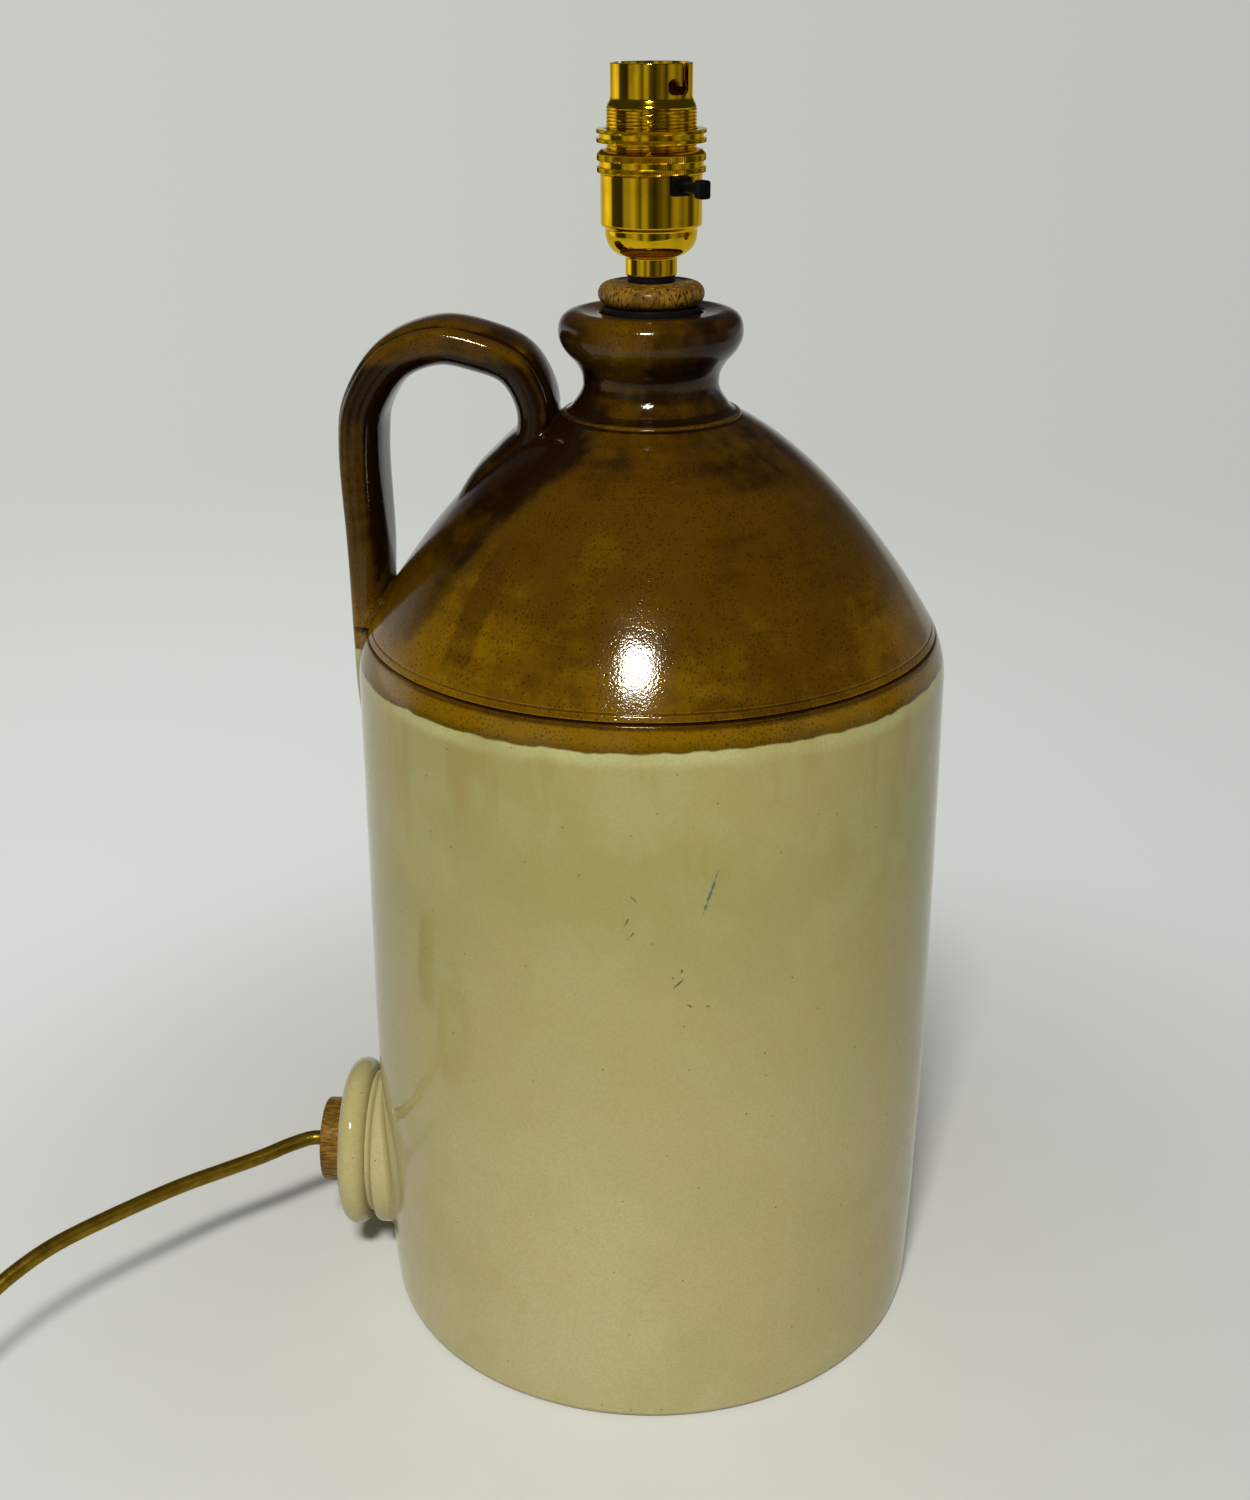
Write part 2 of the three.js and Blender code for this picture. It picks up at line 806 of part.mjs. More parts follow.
function shadeRingBody() {
  const s = shadeRing;
  const bore = barrel.threadRadius + gap;
  return turnedRing([
    at(bore, s.base),
    at(s.radius, s.base),
    at(s.radius, s.lowBand),
    at(s.radius - s.grooveDepth, s.lowBand),
    at(s.radius - s.grooveDepth, s.highBand),
    at(s.radius, s.highBand),
    at(s.radius, s.top),
    at(bore, s.top),
  ], brassSides);
}

// Places of the three terminal screws under the switch body, in the lampholder's frame
function terminalSpot(azimuth, height) {
  const out = works.screwPitchRadius;
  return point(out * Math.cos(azimuth), out * Math.sin(azimuth), height);
}
const terminalAzimuths = {
  live: barAzimuth + Math.PI / 2,
  neutral: barAzimuth - Math.PI / 2,
  earth: barAzimuth + Math.PI,
};

function switchBody() {
  const w = works;
  const past = w.radius + overrun;
  const tunnel = cylinder(bar.radius + gap, -past, past, smallSides).applyMatrix4(barGroup.matrix);
  const holeTop = w.base + w.screwLength + gap;
  const holes = Object.values(terminalAzimuths).map((azimuth) => {
    const spot = terminalSpot(azimuth, 0);
    const hole = cylinder(w.screwRadius + running, w.base - overrun, holeTop, smallSides);
    return hole.translate(spot.x, spot.y, 0);
  });
  return cutBy(cylinder(w.radius, w.base, w.top, woodSides), tunnel, ...holes);
}

function terminalScrew(azimuth) {
  const w = works;
  const spot = terminalSpot(azimuth, w.base);
  return turned([
    at(0, -w.screwHeadHeight - seat),
    at(w.screwHead, -w.screwHeadHeight - seat),
    at(w.screwHead, -seat),
    at(w.screwRadius, -seat),
    at(w.screwRadius, w.screwLength),
    at(0, w.screwLength),
  ], smallSides).translate(spot.x, spot.y, spot.z);
}

// The two contacts stand across the line between the slots' seats
const contactAzimuth = slotAzimuth - slotTurn + Math.PI / 2;
function contactSpot(side) {
  const out = (side * works.contactPitch) / 2;
  return point(out * Math.cos(contactAzimuth), out * Math.sin(contactAzimuth), 0);
}

function contactBlock() {
  const w = works;
  const base = w.top + seat;
  const block = turned([
    at(0, base),
    at(w.radius, base),
    at(w.radius, w.blockShoulder),
    at(w.blockRadius, w.blockShoulder),
    at(w.blockRadius, w.blockTop),
    at(0, w.blockTop),
  ], woodSides);
  const wells = [-1, 1].map((side) => {
    const spot = contactSpot(side);
    const throat = plunger.radius + gap;
    return turned([
      at(0, w.wellFloor),
      at(w.wellRadius, w.wellFloor),
      at(w.wellRadius, w.blockTop - w.lip),
      at(throat, w.blockTop - w.lip),
      at(throat, w.blockTop + overrun),
      at(0, w.blockTop + overrun),
    ], smallSides).translate(spot.x, spot.y, 0);
  });
  return cutBy(block, ...wells);
}

const plungerCollarTop = works.blockTop - works.lip - 2 * seat;
const plungerBase = plungerCollarTop - plunger.collarThickness;

function contactPlunger(side) {
  const p = plunger;
  const top = works.blockTop + p.proud;
  const spot = contactSpot(side);
  return turned([
    at(0, plungerBase),
    at(p.collarRadius, plungerBase),
    at(p.collarRadius, plungerCollarTop),
    at(p.radius, plungerCollarTop),
    ...traced([bend(at(p.radius, top - p.domeHeight), at(p.radius, top), at(0, top), 3)]),
  ], smallSides).translate(spot.x, spot.y, 0);
}

// A compression spring from the well's floor to the plunger's foot, with level end turns
function plungerSpring(side) {
  const s = spring;
  const spot = contactSpot(side);
  const low = works.wellFloor + s.wireRadius + seat;
  const high = plungerBase - s.wireRadius - seat;
  const count = springTurns * springSteps;
  const centres = Array.from({ length: count + 1 }, (_, i) => {
    const angle = (2 * Math.PI * i) / springSteps;
    return point(
      spot.x + s.coilRadius * Math.cos(angle),
      spot.y + s.coilRadius * Math.sin(angle),
      THREE.MathUtils.lerp(low, high, i / count),
    );
  });
  return wire(centres, s.wireRadius, springSides);
}

// Push bar in its own frame: +Z is out to the front knob
const bushFace = holder.bodyRadius + seat + bush.proud;
const knobStop = bushFace + bar.stop;

// A flat knob from its neck outwards: a rounded plate that stands upright across the bar
function barKnob() {
  const b = bar;
  const x = b.knobHeight / 2;
  const y = b.knobWidth / 2;
  const slice = (inset, z) => [
    point(x - inset, y - inset, z),
    point(-x + inset, y - inset, z),
    point(-x + inset, -y + inset, z),
    point(x - inset, -y + inset, z),
  ];
  const end = b.knobLength;
  const round = b.knobRound;
  return skinned([slice(round, 0), slice(0, round), slice(0, end - round), slice(round, end)]);
}

function pushBar() {
  const inner = knobStop + bar.knobLength / 2;
  const rod = cylinder(bar.radius, -inner, inner + bar.travel, smallSides);
  const front = barKnob().translate(0, 0, knobStop + bar.travel);
  const back = barKnob().rotateX(Math.PI).translate(0, 0, -knobStop);
  return joinedWith(rod, front, back);
}

// A bush: a square-faced block outside the housing and a shank through its wall
function barBush(way) {
  const back = holder.bodyRadius + seat;
  const shankEnd = works.radius + running;
  const block = box(bush.height, bush.width, bush.proud).translate(0, 0, back + bush.proud / 2);
  const length = back - shankEnd + bush.proud / 2;
  const shank = box(bush.shankHeight, bush.shankWidth, length).translate(0, 0, shankEnd + length / 2);
  const hole = cylinder(bar.radius + running, works.radius - overrun, bushFace + overrun, smallSides);
  const whole = cutBy(joinedWith(block, shank), hole);
  return way > 0 ? whole : whole.rotateX(Math.PI);
}

// Flex

// The way inside: through the outlet's bung, across the floor of the flagon and up the nipple.
// Distances out from the axis along the outlet, and heights above the foot
const outletEnd = rimFace + outlet.bungProud;
const holderBase = mouthHeight + holderSeat;
const sheathEnd = holderBase + holder.neckHeight + 2 * holder.domeWall;
const innerRun = [
  [outletEnd, outlet.height],
  [(outletEnd + rootDepth) / 2, outlet.height],
  [rootDepth, outlet.height],
  [rootDepth - 4 * flex.radius, outlet.height],
  [56, 59],
  [33, 105],
  [12, 180],
  [2, 250],
  [0, 300],
  [0, 325],
  [0, 345],
  [0, 365],
  [0, sheathEnd],
];

function innerFlex() {
  const route = innerRun.map(([out, height]) => point(out, 0, height));
  return tube(new THREE.CatmullRomCurve3(route), flex.radius, 8, 32).rotateZ(sideAzimuth);
}

// A core from the sheath's end to just under its terminal screw, in the lampholder's frame
function core(azimuth) {
  const start = sheathEnd - holderBase + gap;
  const spread = flex.coreSpread;
  const end = terminalSpot(azimuth, works.base - works.screwHeadHeight - seat - gap);
  const foot = point(spread * Math.cos(azimuth), spread * Math.sin(azimuth), start);
  const rise = point(0, 0, flex.coreRadius);
  const route = [foot, foot.clone().add(rise), foot.clone().lerp(end, 0.5), end.clone().sub(rise), end];
  return tube(new THREE.CatmullRomCurve3(route), flex.coreRadius, 6, 9);
}

// The free run from the outlet to the coil, in millimetres from the origin
const freeRun = [
  [-139.5, 1.4, 44.4],
  [-149, -6.3, 44.2],
  [-160.4, -14.5, 44.2],
  [-175, -26.6, 45.2],
  [-188.5, -39.8, 46],
  [-202, -53, 46.1],
  [-212, -62.8, 45.5],
  [-219.5, -70.8, 44],
  [-228.5, -81, 40.4],
  [-237, -92.5, 34],
  [-246, -106.5, 23],
  [-255.5, -119.5, 12],
  [-266.5, -129.8, 5.6],
  [-279, -136.4, 3.2],
];

const coilRise = flex.radius + seat;

// The coil's centre line: inward over the floor, a climb, and outward again on top, turning clockwise
function coilCentres() {
  const c = coil;
  const count = Math.round(coilTurns * coilStepsPerTurn);
  const swing = (c.pitch * coilTurns) / 2;
  const centres = [];
  for (let i = 0; i <= count; i++) {
    const turns = i / coilStepsPerTurn;
    const inward = Math.abs(turns / coilTurns - 0.5) * 2;
    const radius = c.middleRadius + swing * (inward - 0.5);
    const climb = THREE.MathUtils.clamp((turns - coilTurns / 2) * 2 + 0.5, 0, 1);
    const angle = -Math.PI / 2 - 2 * Math.PI * turns;
    centres.push(point(
      c.centreX + radius * Math.cos(angle),
      c.centreY + radius * Math.sin(angle),
      coilRise + c.layer * climb,
    ));
  }
  const headStart = centres[0].clone().add(point(2 * flex.radius, 0, 0));
  const tailEnd = centres[centres.length - 1].clone().add(point(0, 2 * flex.radius, 0));
  return [headStart, ...centres, tailEnd];
}

// The least space between the coil's tube and itself, away from where it is the same stretch
function leastSelfGap(centres, radius) {
  const apart = Math.round(coilStepsPerTurn / 2);
  let least = Infinity;
  for (let i = 0; i < centres.length; i++) {
    for (let j = i + apart; j < centres.length; j++) {
      least = Math.min(least, centres[i].distanceTo(centres[j]));
    }
  }
  return least - 2 * radius;
}

function routeLength(route) {
  return route.slice(1).reduce((sum, p, i) => sum + p.distanceTo(route[i]), 0);
}

const coilLine = coilCentres();
const coilStart = coilLine[0];
const coilEnd = coilLine[coilLine.length - 1];

// The plug's frame: the flex enters at its origin's height, along +Y, and the plug lies on Z = 0
const plugEntry = point(coilEnd.x, coilEnd.y + plug.fromCoil, 0);
const tailRun = [
  [2.4, 16, -1.4],
  [3.0, 24, -2.0],
  [1.6, 33, -1.0],
];

function freeFlex(exit) {
  const out = point(Math.cos(sideAzimuth), Math.sin(sideAzimuth), 0);
  const end = coilStart.clone().add(point(gap, 0, 0));
  const lead = end.clone().add(point(2 * flex.radius, 0, 0));
  const route = [
    exit.clone().addScaledVector(out, gap),
    exit.clone().addScaledVector(out, gap + 2 * flex.radius),
    ...freeRun.map((p) => point(...p)),
    lead,
    end,
  ];
  return new THREE.CatmullRomCurve3(route);
}

function tailFlex() {
  const start = coilEnd.clone().add(point(0, gap, 0));
  const end = point(plugEntry.x, plugEntry.y - gap, coilEnd.z);
  const lead = point(0, 2 * flex.radius, 0);
  const route = [
    start,
    start.clone().add(lead),
    ...tailRun.map(([x, y, z]) => coilEnd.clone().add(point(x, y, z))),
    end.clone().sub(lead),
    end,
  ];
  return new THREE.CatmullRomCurve3(route);
}

// Plug

function plugOutline(inset) {
  const p = plug;
  const half = p.width / 2 - inset;
  const entry = p.entryWidth / 2 - inset;
  const corner = p.corner - inset / 2;
  const far = p.length - inset;
  const shape = new THREE.Shape();
  shape.moveTo(-entry, inset);
  shape.lineTo(entry, inset);
  shape.quadraticCurveTo(half, inset, half, inset + p.entryLength);
  shape.lineTo(half, far - corner);
  shape.quadraticCurveTo(half, far, half - corner, far);
  shape.lineTo(-half + corner, far);
  shape.quadraticCurveTo(-half, far, -half, far - corner);
  shape.lineTo(-half, inset + p.entryLength);
  shape.quadraticCurveTo(-half, inset, -entry, inset);
  return shape;
}

const plugMiddle = plug.pinsFrom + plug.earthPitch / 2;
const plugTop = plug.coverHeight + seat + plug.baseHeight;

// A slab of the plug's outline; lowRound and highRound are 1 where that edge is taken in, else 0
function roundedSlab(from, to, lowRound, highRound) {
  const rise = plug.round;
  const layers = [plate(plugOutline(0), from + lowRound * rise, to - highRound * rise, 3)];
  if (lowRound) layers.push(plate(plugOutline(rise), from, from + overrun + rise, 3));
  if (highRound) layers.push(plate(plugOutline(rise), to - overrun - rise, to, 3));
  return layers.length > 1 ? joinedWith(...layers) : layers[0];
}

function plugCover() {
  const p = plug;
  const hollow = plate(plugOutline(p.wall), p.wall, p.coverHeight + overrun, 3);
  const shell = cutBy(roundedSlab(0, p.coverHeight, 1, 0), hollow);
  const post = ring(p.screwRadius + running, p.postRadius, p.wall / 2, p.coverHeight - seat, smallSides);
  return joinedWith(shell, post.translate(0, plugMiddle, 0));
}

function pinSpots() {
  const p = plug;
  return {
    live: [p.pinPitch / 2, p.pinsFrom, p.pinWidth, p.pinThickness, p.pinLength],
    neutral: [-p.pinPitch / 2, p.pinsFrom, p.pinWidth, p.pinThickness, p.pinLength],
    earth: [0, p.pinsFrom + p.earthPitch, p.earthWidth, p.earthThickness, p.earthLength],
  };
}

function plugPin([x, y, width, thickness, length]) {
  const from = plug.coverHeight - plug.pinRoot;
  const to = plugTop + length;
  const c = plug.pinChamfer;
  const rings = [[0, from], [0, to - c], [c, to]].map(([inset, z]) => [
    point(x - width / 2 + inset, y - thickness / 2 + inset, z),
    point(x + width / 2 - inset, y - thickness / 2 + inset, z),
    point(x + width / 2 - inset, y + thickness / 2 - inset, z),
    point(x - width / 2 + inset, y + thickness / 2 - inset, z),
  ]);
  return skinned(rings);
}

function plugBase() {
  const p = plug;
  const from = p.coverHeight + seat;
  const holes = Object.values(pinSpots()).map(([x, y, width, thickness]) => (
    box(width + 2 * seat, thickness + 2 * seat, 2 * plugTop).translate(x, y, plugTop)
  ));
  const sinkFloor = plugTop - p.screwHeadHeight - seat;
  const sink = cylinder(p.screwHead + running, sinkFloor, plugTop + overrun, smallSides);
  const bore = cylinder(p.screwRadius + running, from - overrun, plugTop, smallSides);
  const screwHoles = [sink, bore].map((hole) => hole.translate(0, plugMiddle, 0));
  return cutBy(roundedSlab(from, plugTop, 0, 1), ...holes, ...screwHoles);
}

function plugScrew() {
  const p = plug;
  const under = plugTop - p.screwHeadHeight;
  return turned([
    at(0, p.wall),
    at(p.screwRadius, p.wall),
    at(p.screwRadius, under),
    at(p.screwHead, under),
    at(p.screwHead, plugTop),
    at(0, plugTop),
  ], smallSides).translate(0, plugMiddle, 0);
}

function plugFuse() {
  const p = plug;
  const fuse = cylinder(p.fuseRadius, -p.fuseLength / 2, p.fuseLength / 2, smallSides).rotateX(Math.PI / 2);
  return fuse.translate(p.fuseOffset, plugMiddle, p.wall + p.fuseRadius + gap);
}

function plugGrip() {
  const p = plug;
  const low = coilEnd.z + flex.radius + gap;
  const middle = p.gripFrom + p.gripDepth / 2;
  const bridge = box(p.gripWidth, p.gripDepth, p.gripHeight).translate(0, middle, low + p.gripHeight / 2);
  const posts = [-1, 1].map((side) => (
    cylinder(p.screwRadius, p.wall + gap, low + overrun, smallSides)
      .translate((side * p.gripScrewPitch) / 2, middle, 0)
  ));
  return joinedWith(bridge, ...posts);
}

// Putting the lamp together

const lamp = new THREE.Group();
const handleGroup = new THREE.Group();
handleGroup.rotation.z = handleAzimuth;
lamp.add(handleGroup);
const outletGroup = outwardGroup(lamp, sideAzimuth, outlet.height);
const mouthGroup = raisedGroup(lamp, mouthHeight);
const holderGroup = raisedGroup(lamp, holderBase);
const barGroup = outwardGroup(holderGroup, barAzimuth, bar.height);
const plugGroup = new THREE.Group();
plugGroup.position.copy(plugEntry);
lamp.add(plugGroup);
barGroup.updateMatrix();
lamp.updateMatrixWorld(true);

function addFlagon() {
  piece(lamp, "flagon_body", flagonBody(), "creamGlaze");
  const trim = flagonForm(gap).applyMatrix4(handleGroup.matrixWorld.clone().invert());
  piece(handleGroup, "flagon_handle", cutBy(handleStrap(), trim), "brownGlaze");
  piece(outletGroup, "outlet_boss", outletBoss(), "creamGlaze");
  piece(outletGroup, "outlet_bung", outletBung(), "wood");
}

function addMouthFittings() {
  const m = mouth;
  const plateTop = -m.bungLength - seat;
  const nutTop = plateTop - m.plateThickness - seat;
  const nutBase = nutTop - m.nutThickness;
  const washerBore = m.nippleRadius + running;
  const looseBore = m.nippleRadius + gap;
  const washer = ring(washerBore, m.washerRadius, washerBase, washerBase + m.washerThickness, woodSides);
  const nippleTop = holderSeat + m.nippleHead;
  const nipple = ring(m.nippleBore, m.nippleRadius, nutBase - m.nippleTail, nippleTop, smallSides);
  const clampPlate = ring(looseBore, m.plateRadius, plateTop - m.plateThickness, plateTop, woodSides);
  piece(mouthGroup, "mouth_bung", mouthBung(), "rubber");
  piece(mouthGroup, "wooden_cap", woodenCap(), "wood");
  piece(mouthGroup, "seat_washer", washer, "rubber");
  piece(mouthGroup, "nipple", nipple, "brass");
  piece(mouthGroup, "clamp_plate", clampPlate, "steel");
  piece(mouthGroup, "nipple_nut", hexagonNut(m.nutFlats, looseBore, nutBase, nutTop), "brass");
}

function addLampholder() {
  piece(holderGroup, "holder_housing", holderHousing(), "brass");
  piece(holderGroup, "holder_barrel", holderBarrel(), "brass");
  piece(holderGroup, "union_ring", unionRingBody(), "brass");
  piece(holderGroup, "shade_ring", shadeRingBody(), "brass");
  piece(holderGroup, "switch_body", switchBody(), "blackPlastic");
  piece(holderGroup, "contact_block", contactBlock(), "ceramic");
  for (const [name, azimuth] of Object.entries(terminalAzimuths)) {
    piece(holderGroup, `terminal_screw_${name}`, terminalScrew(azimuth), "brass");
  }
  for (const [number, side] of [[1, -1], [2, 1]]) {
    piece(holderGroup, `contact_plunger_${number}`, contactPlunger(side), "brass");
    piece(holderGroup, `plunger_spring_${number}`, plungerSpring(side), "steel");
  }
  piece(barGroup, "switch_bar", pushBar(), "blackPlastic");
  piece(barGroup, "bar_bush_front", barBush(1), "blackPlastic");
  piece(barGroup, "bar_bush_back", barBush(-1), "blackPlastic");
  piece(holderGroup, "core_live", core(terminalAzimuths.live), "brownCore");
  piece(holderGroup, "core_neutral", core(terminalAzimuths.neutral), "blueCore");
  piece(holderGroup, "core_earth", core(terminalAzimuths.earth), "greenCore");
}

function addFlex() {
  const exit = point(0, 0, outletEnd).applyMatrix4(outletGroup.matrixWorld);
  const free = freeFlex(exit);
  const tail = tailFlex();
  piece(lamp, "inner_flex", innerFlex(), "goldFlex");
  piece(lamp, "flex", tube(free, flex.radius, 10, 22), "goldFlex");
  piece(lamp, "flex_coil", wire(coilLine, flex.radius, coilSides), "goldFlex");
  piece(lamp, "flex_tail", tube(tail, flex.radius, 10, 8), "goldFlex");
  const lengths = [free.getLength(), routeLength(coilLine), tail.getLength()];
  console.log("flex outside the flagon, mm:", lengths.map((n) => n.toFixed(1)).join(" + "));
  console.log("coil's least gap to itself, mm:", leastSelfGap(coilLine, flex.radius).toFixed(2));
}

function addPlug() {
  piece(plugGroup, "plug_cover", plugCover(), "blackPlastic");
  piece(plugGroup, "plug_base", plugBase(), "blackPlastic");
  for (const [name, spot] of Object.entries(pinSpots())) {
    piece(plugGroup, `plug_pin_${name}`, plugPin(spot), "brass");
  }
  piece(plugGroup, "plug_screw", plugScrew(), "steel");
  piece(plugGroup, "plug_fuse", plugFuse(), "ceramic");
  piece(plugGroup, "plug_cord_grip", plugGrip(), "blackPlastic");
}

addFlagon();
addMouthFittings();
addLampholder();
addFlex();
addPlug();

export default lamp;
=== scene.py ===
# %% [markdown]
# # A table lamp made from a stoneware flagon
# A two-tone glazed flagon carries a switched brass lampholder on a turned wooden cap. Its flex leaves
# low on the side, through a boss that once held a tap.
# The solids come ready packed as a fixed frame. Every piece here is built round them, in the same
# places, with the detail and the finish that the eye looks for.

import json
import math

import bmesh
import bpy
import numpy as np
from mathutils import Matrix, Vector
from mathutils.kdtree import KDTree

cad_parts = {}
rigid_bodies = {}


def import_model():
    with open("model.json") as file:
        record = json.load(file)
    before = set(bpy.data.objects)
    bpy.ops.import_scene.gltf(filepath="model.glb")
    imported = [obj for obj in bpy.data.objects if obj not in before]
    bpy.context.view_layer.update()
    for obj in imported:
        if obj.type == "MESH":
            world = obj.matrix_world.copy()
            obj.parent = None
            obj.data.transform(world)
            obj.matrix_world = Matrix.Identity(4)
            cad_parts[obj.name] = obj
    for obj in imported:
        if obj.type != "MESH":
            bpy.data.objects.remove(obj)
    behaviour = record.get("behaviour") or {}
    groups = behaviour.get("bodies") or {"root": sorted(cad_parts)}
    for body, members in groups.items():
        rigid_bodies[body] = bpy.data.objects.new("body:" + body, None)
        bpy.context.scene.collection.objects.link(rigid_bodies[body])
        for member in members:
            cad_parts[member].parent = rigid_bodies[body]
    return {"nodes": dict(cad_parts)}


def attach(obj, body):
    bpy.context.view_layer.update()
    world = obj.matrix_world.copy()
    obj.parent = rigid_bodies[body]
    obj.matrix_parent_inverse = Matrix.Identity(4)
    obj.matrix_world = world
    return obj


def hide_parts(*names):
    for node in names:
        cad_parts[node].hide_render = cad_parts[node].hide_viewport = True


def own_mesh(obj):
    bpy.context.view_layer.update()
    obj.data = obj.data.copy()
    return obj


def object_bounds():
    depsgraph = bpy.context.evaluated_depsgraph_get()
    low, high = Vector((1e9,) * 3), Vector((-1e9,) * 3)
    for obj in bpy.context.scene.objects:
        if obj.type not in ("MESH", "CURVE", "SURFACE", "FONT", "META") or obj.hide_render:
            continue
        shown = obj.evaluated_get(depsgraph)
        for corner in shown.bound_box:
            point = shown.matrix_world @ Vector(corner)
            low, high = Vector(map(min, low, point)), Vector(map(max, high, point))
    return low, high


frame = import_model()
cad_low, cad_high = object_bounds()
size = tuple(round(v, 4) for v in cad_high - cad_low)
print("packed solids:", len(frame["nodes"]), "box, m:", size)

# %% [markdown]
# ## Where the camera stands
# A picture only matches when the camera is where the photographer's was. The foot, the scored lines
# and the rings of the lampholder are all circles, and circles seen in perspective fix the distance,
# the height and the tilt. This camera was fitted to them: about 0.77 m off, looking 22 degrees down.

# %% Set the camera
MM = 0.001
camera_spot = Vector((0, -0.615, 0.4614))
camera_pitch = math.radians(22.18)
camera_yaw = math.radians(-0.85)
camera_roll = math.radians(-0.26)

ahead = Vector((
    math.sin(camera_yaw) * math.cos(camera_pitch),
    math.cos(camera_yaw) * math.cos(camera_pitch),
    -math.sin(camera_pitch),
))
level = Vector((math.cos(camera_yaw), -math.sin(camera_yaw), 0))
upright = level.cross(ahead)
right = level * math.cos(camera_roll) + upright * math.sin(camera_roll)
up = upright * math.cos(camera_roll) - level * math.sin(camera_roll)


def put_in_scene(name, data):
    """A new object of the scene that shows some data: a camera, a lamp, a mesh or a curve."""
    made = bpy.data.objects.new(name, data)
    bpy.context.scene.collection.objects.link(made)
    return made


camera = put_in_scene("camera", bpy.data.cameras.new("camera"))
camera.data.lens = 45.04
camera.data.sensor_width = 36
camera.data.clip_start = 0.01
turned = Matrix((right, up, -ahead)).transposed().to_4x4()
camera.matrix_world = Matrix.Translation(camera_spot) @ turned
bpy.context.scene.camera = camera
print("camera to the lamp's axis, m:", round(camera_spot.length, 3))

# %% [markdown]
# ## The route of the flex
# A flex is one fixed length of something springy, so its route comes before its looks. It leaves the
# bung dead straight, rises over a low hump as it straightens, comes down to the table and goes into
# a neat two-layer coil with its plug. A centripetal curve through a few chosen spots keeps the bends
# even and never loops back on itself, which is why it is used here in place of a plain spline.

# %% Curves through chosen spots
def tangents_between(spots, i):
    """The start and end tangent of the span from spot i to the next, for a centripetal curve."""
    p1, p2 = spots[i], spots[i + 1]
    p0 = spots[i - 1] if i > 0 else 2 * p1 - p2
    p3 = spots[i + 2] if i + 2 < len(spots) else 2 * p2 - p1
    d0, d1, d2 = (math.sqrt(np.linalg.norm(b - a)) for a, b in ((p0, p1), (p1, p2), (p2, p3)))
    first = (p1 - p0) / d0 - (p2 - p0) / (d0 + d1) + (p2 - p1) / d1
    second = (p2 - p1) / d1 - (p3 - p1) / (d1 + d2) + (p3 - p2) / d2
    return first * d1, second * d1


def along_curve(spots, t):
    """Where the curve is, and which way it runs, at t from 0 to the number of spans."""
    i = min(int(t), len(spots) - 2)
    u = t - i
    first, second = tangents_between(spots, i)
    step = spots[i + 1] - spots[i]
    c2 = 3 * step - 2 * first - second
    c3 = first + second - 2 * step
    return spots[i] + u * (first + u * (c2 + u * c3)), first + u * (2 * c2 + 3 * u * c3)


def curve_length(spots, steps=16):
    reach = np.linspace(0, len(spots) - 1, steps * len(spots))
    line = np.array([along_curve(spots, t)[0] for t in reach])
    return float(np.linalg.norm(np.diff(line, axis=0), axis=1).sum())


quarter = [np.array(p) for p in ((1, 0), (0.707, 0.707), (0, 1))]
print("a quarter turn through three spots is", round(curve_length(quarter), 2), "long")

# %% The spots that the flex passes, in millimetres
flex_radius = 2.8
side_azimuth = math.radians(177.5)
side_way = np.array([math.cos(side_azimuth), math.sin(side_azimuth), 0.0])
outlet_height = 44.5
outlet_end = 126.2
flex_exit = side_way * outlet_end + np.array([0, 0, outlet_height])

free_run = np.array([
    [-139.5, 1.4, 44.4], [-149, -6.3, 44.2], [-160.4, -14.5, 44.2], [-175, -26.6, 45.2],
    [-188.5, -39.8, 46], [-202, -53, 46.1], [-212, -62.8, 45.5], [-219.5, -70.8, 44],
    [-228.5, -81, 40.4], [-237, -92.5, 34], [-246, -106.5, 23], [-255.5, -119.5, 12],
    [-266.5, -129.8, 5.6], [-279, -136.4, 3.2],
])

coil_centre = np.array([-302.0, -92.0])
coil_turns = 8.25
coil_steps = 24
coil_middle = 33
coil_pitch = 6.35
coil_layer = 6.3
coil_rest = flex_radius + 0.1
tail_length = 48.0


def coil_spots():
    """Inward over the table for half the turns, a climb, and outward again on top."""
    turns = np.arange(round(coil_turns * coil_steps) + 1) / coil_steps
    swing = coil_pitch * coil_turns / 2
    radius = coil_middle + swing * (np.abs(turns / coil_turns - 0.5) * 2 - 0.5)
    climb = np.clip((turns - coil_turns / 2) * 2 + 0.5, 0, 1)
    angle = -math.pi / 2 - 2 * math.pi * turns
    return np.stack([
        coil_centre[0] + radius * np.cos(angle),
        coil_centre[1] + radius * np.sin(angle),
        coil_rest + coil_layer * climb,
    ], axis=1)


coil = coil_spots()
lead = 2 * flex_radius
coil_end = coil[-1] + np.array([0, lead, 0])
plug_entry = coil_end + np.array([0, tail_length, 0])
tail_run = coil_end + np.array([[0, lead, 0], [2.4, 16, -1.4], [3.0, 24, -2.0], [1.6, 33, -1.0]])
flex_spots = np.vstack([
    [flex_exit, flex_exit + side_way * lead],
    free_run,
    [coil[0] + np.array([2 * lead, 0, 0])],
    coil,
    [coil_end],
    tail_run,
    [plug_entry - np.array([0, lead, 0]), plug_entry],
])
print("flex outside the flagon, mm:", round(curve_length(flex_spots)))

# %% [markdown]
# ## One curve for the whole flex
# Blender sweeps a round section along a curve object, and a curve keeps its own centre line, so the
# length can be measured at any time. The handles are set from the same tangents as above, so this
# line is the one that the solids follow. A curve's box is widened by the radius of its knots, which
# is a metre unless it is set, so the thickness is set there and the bevel is left at 1.

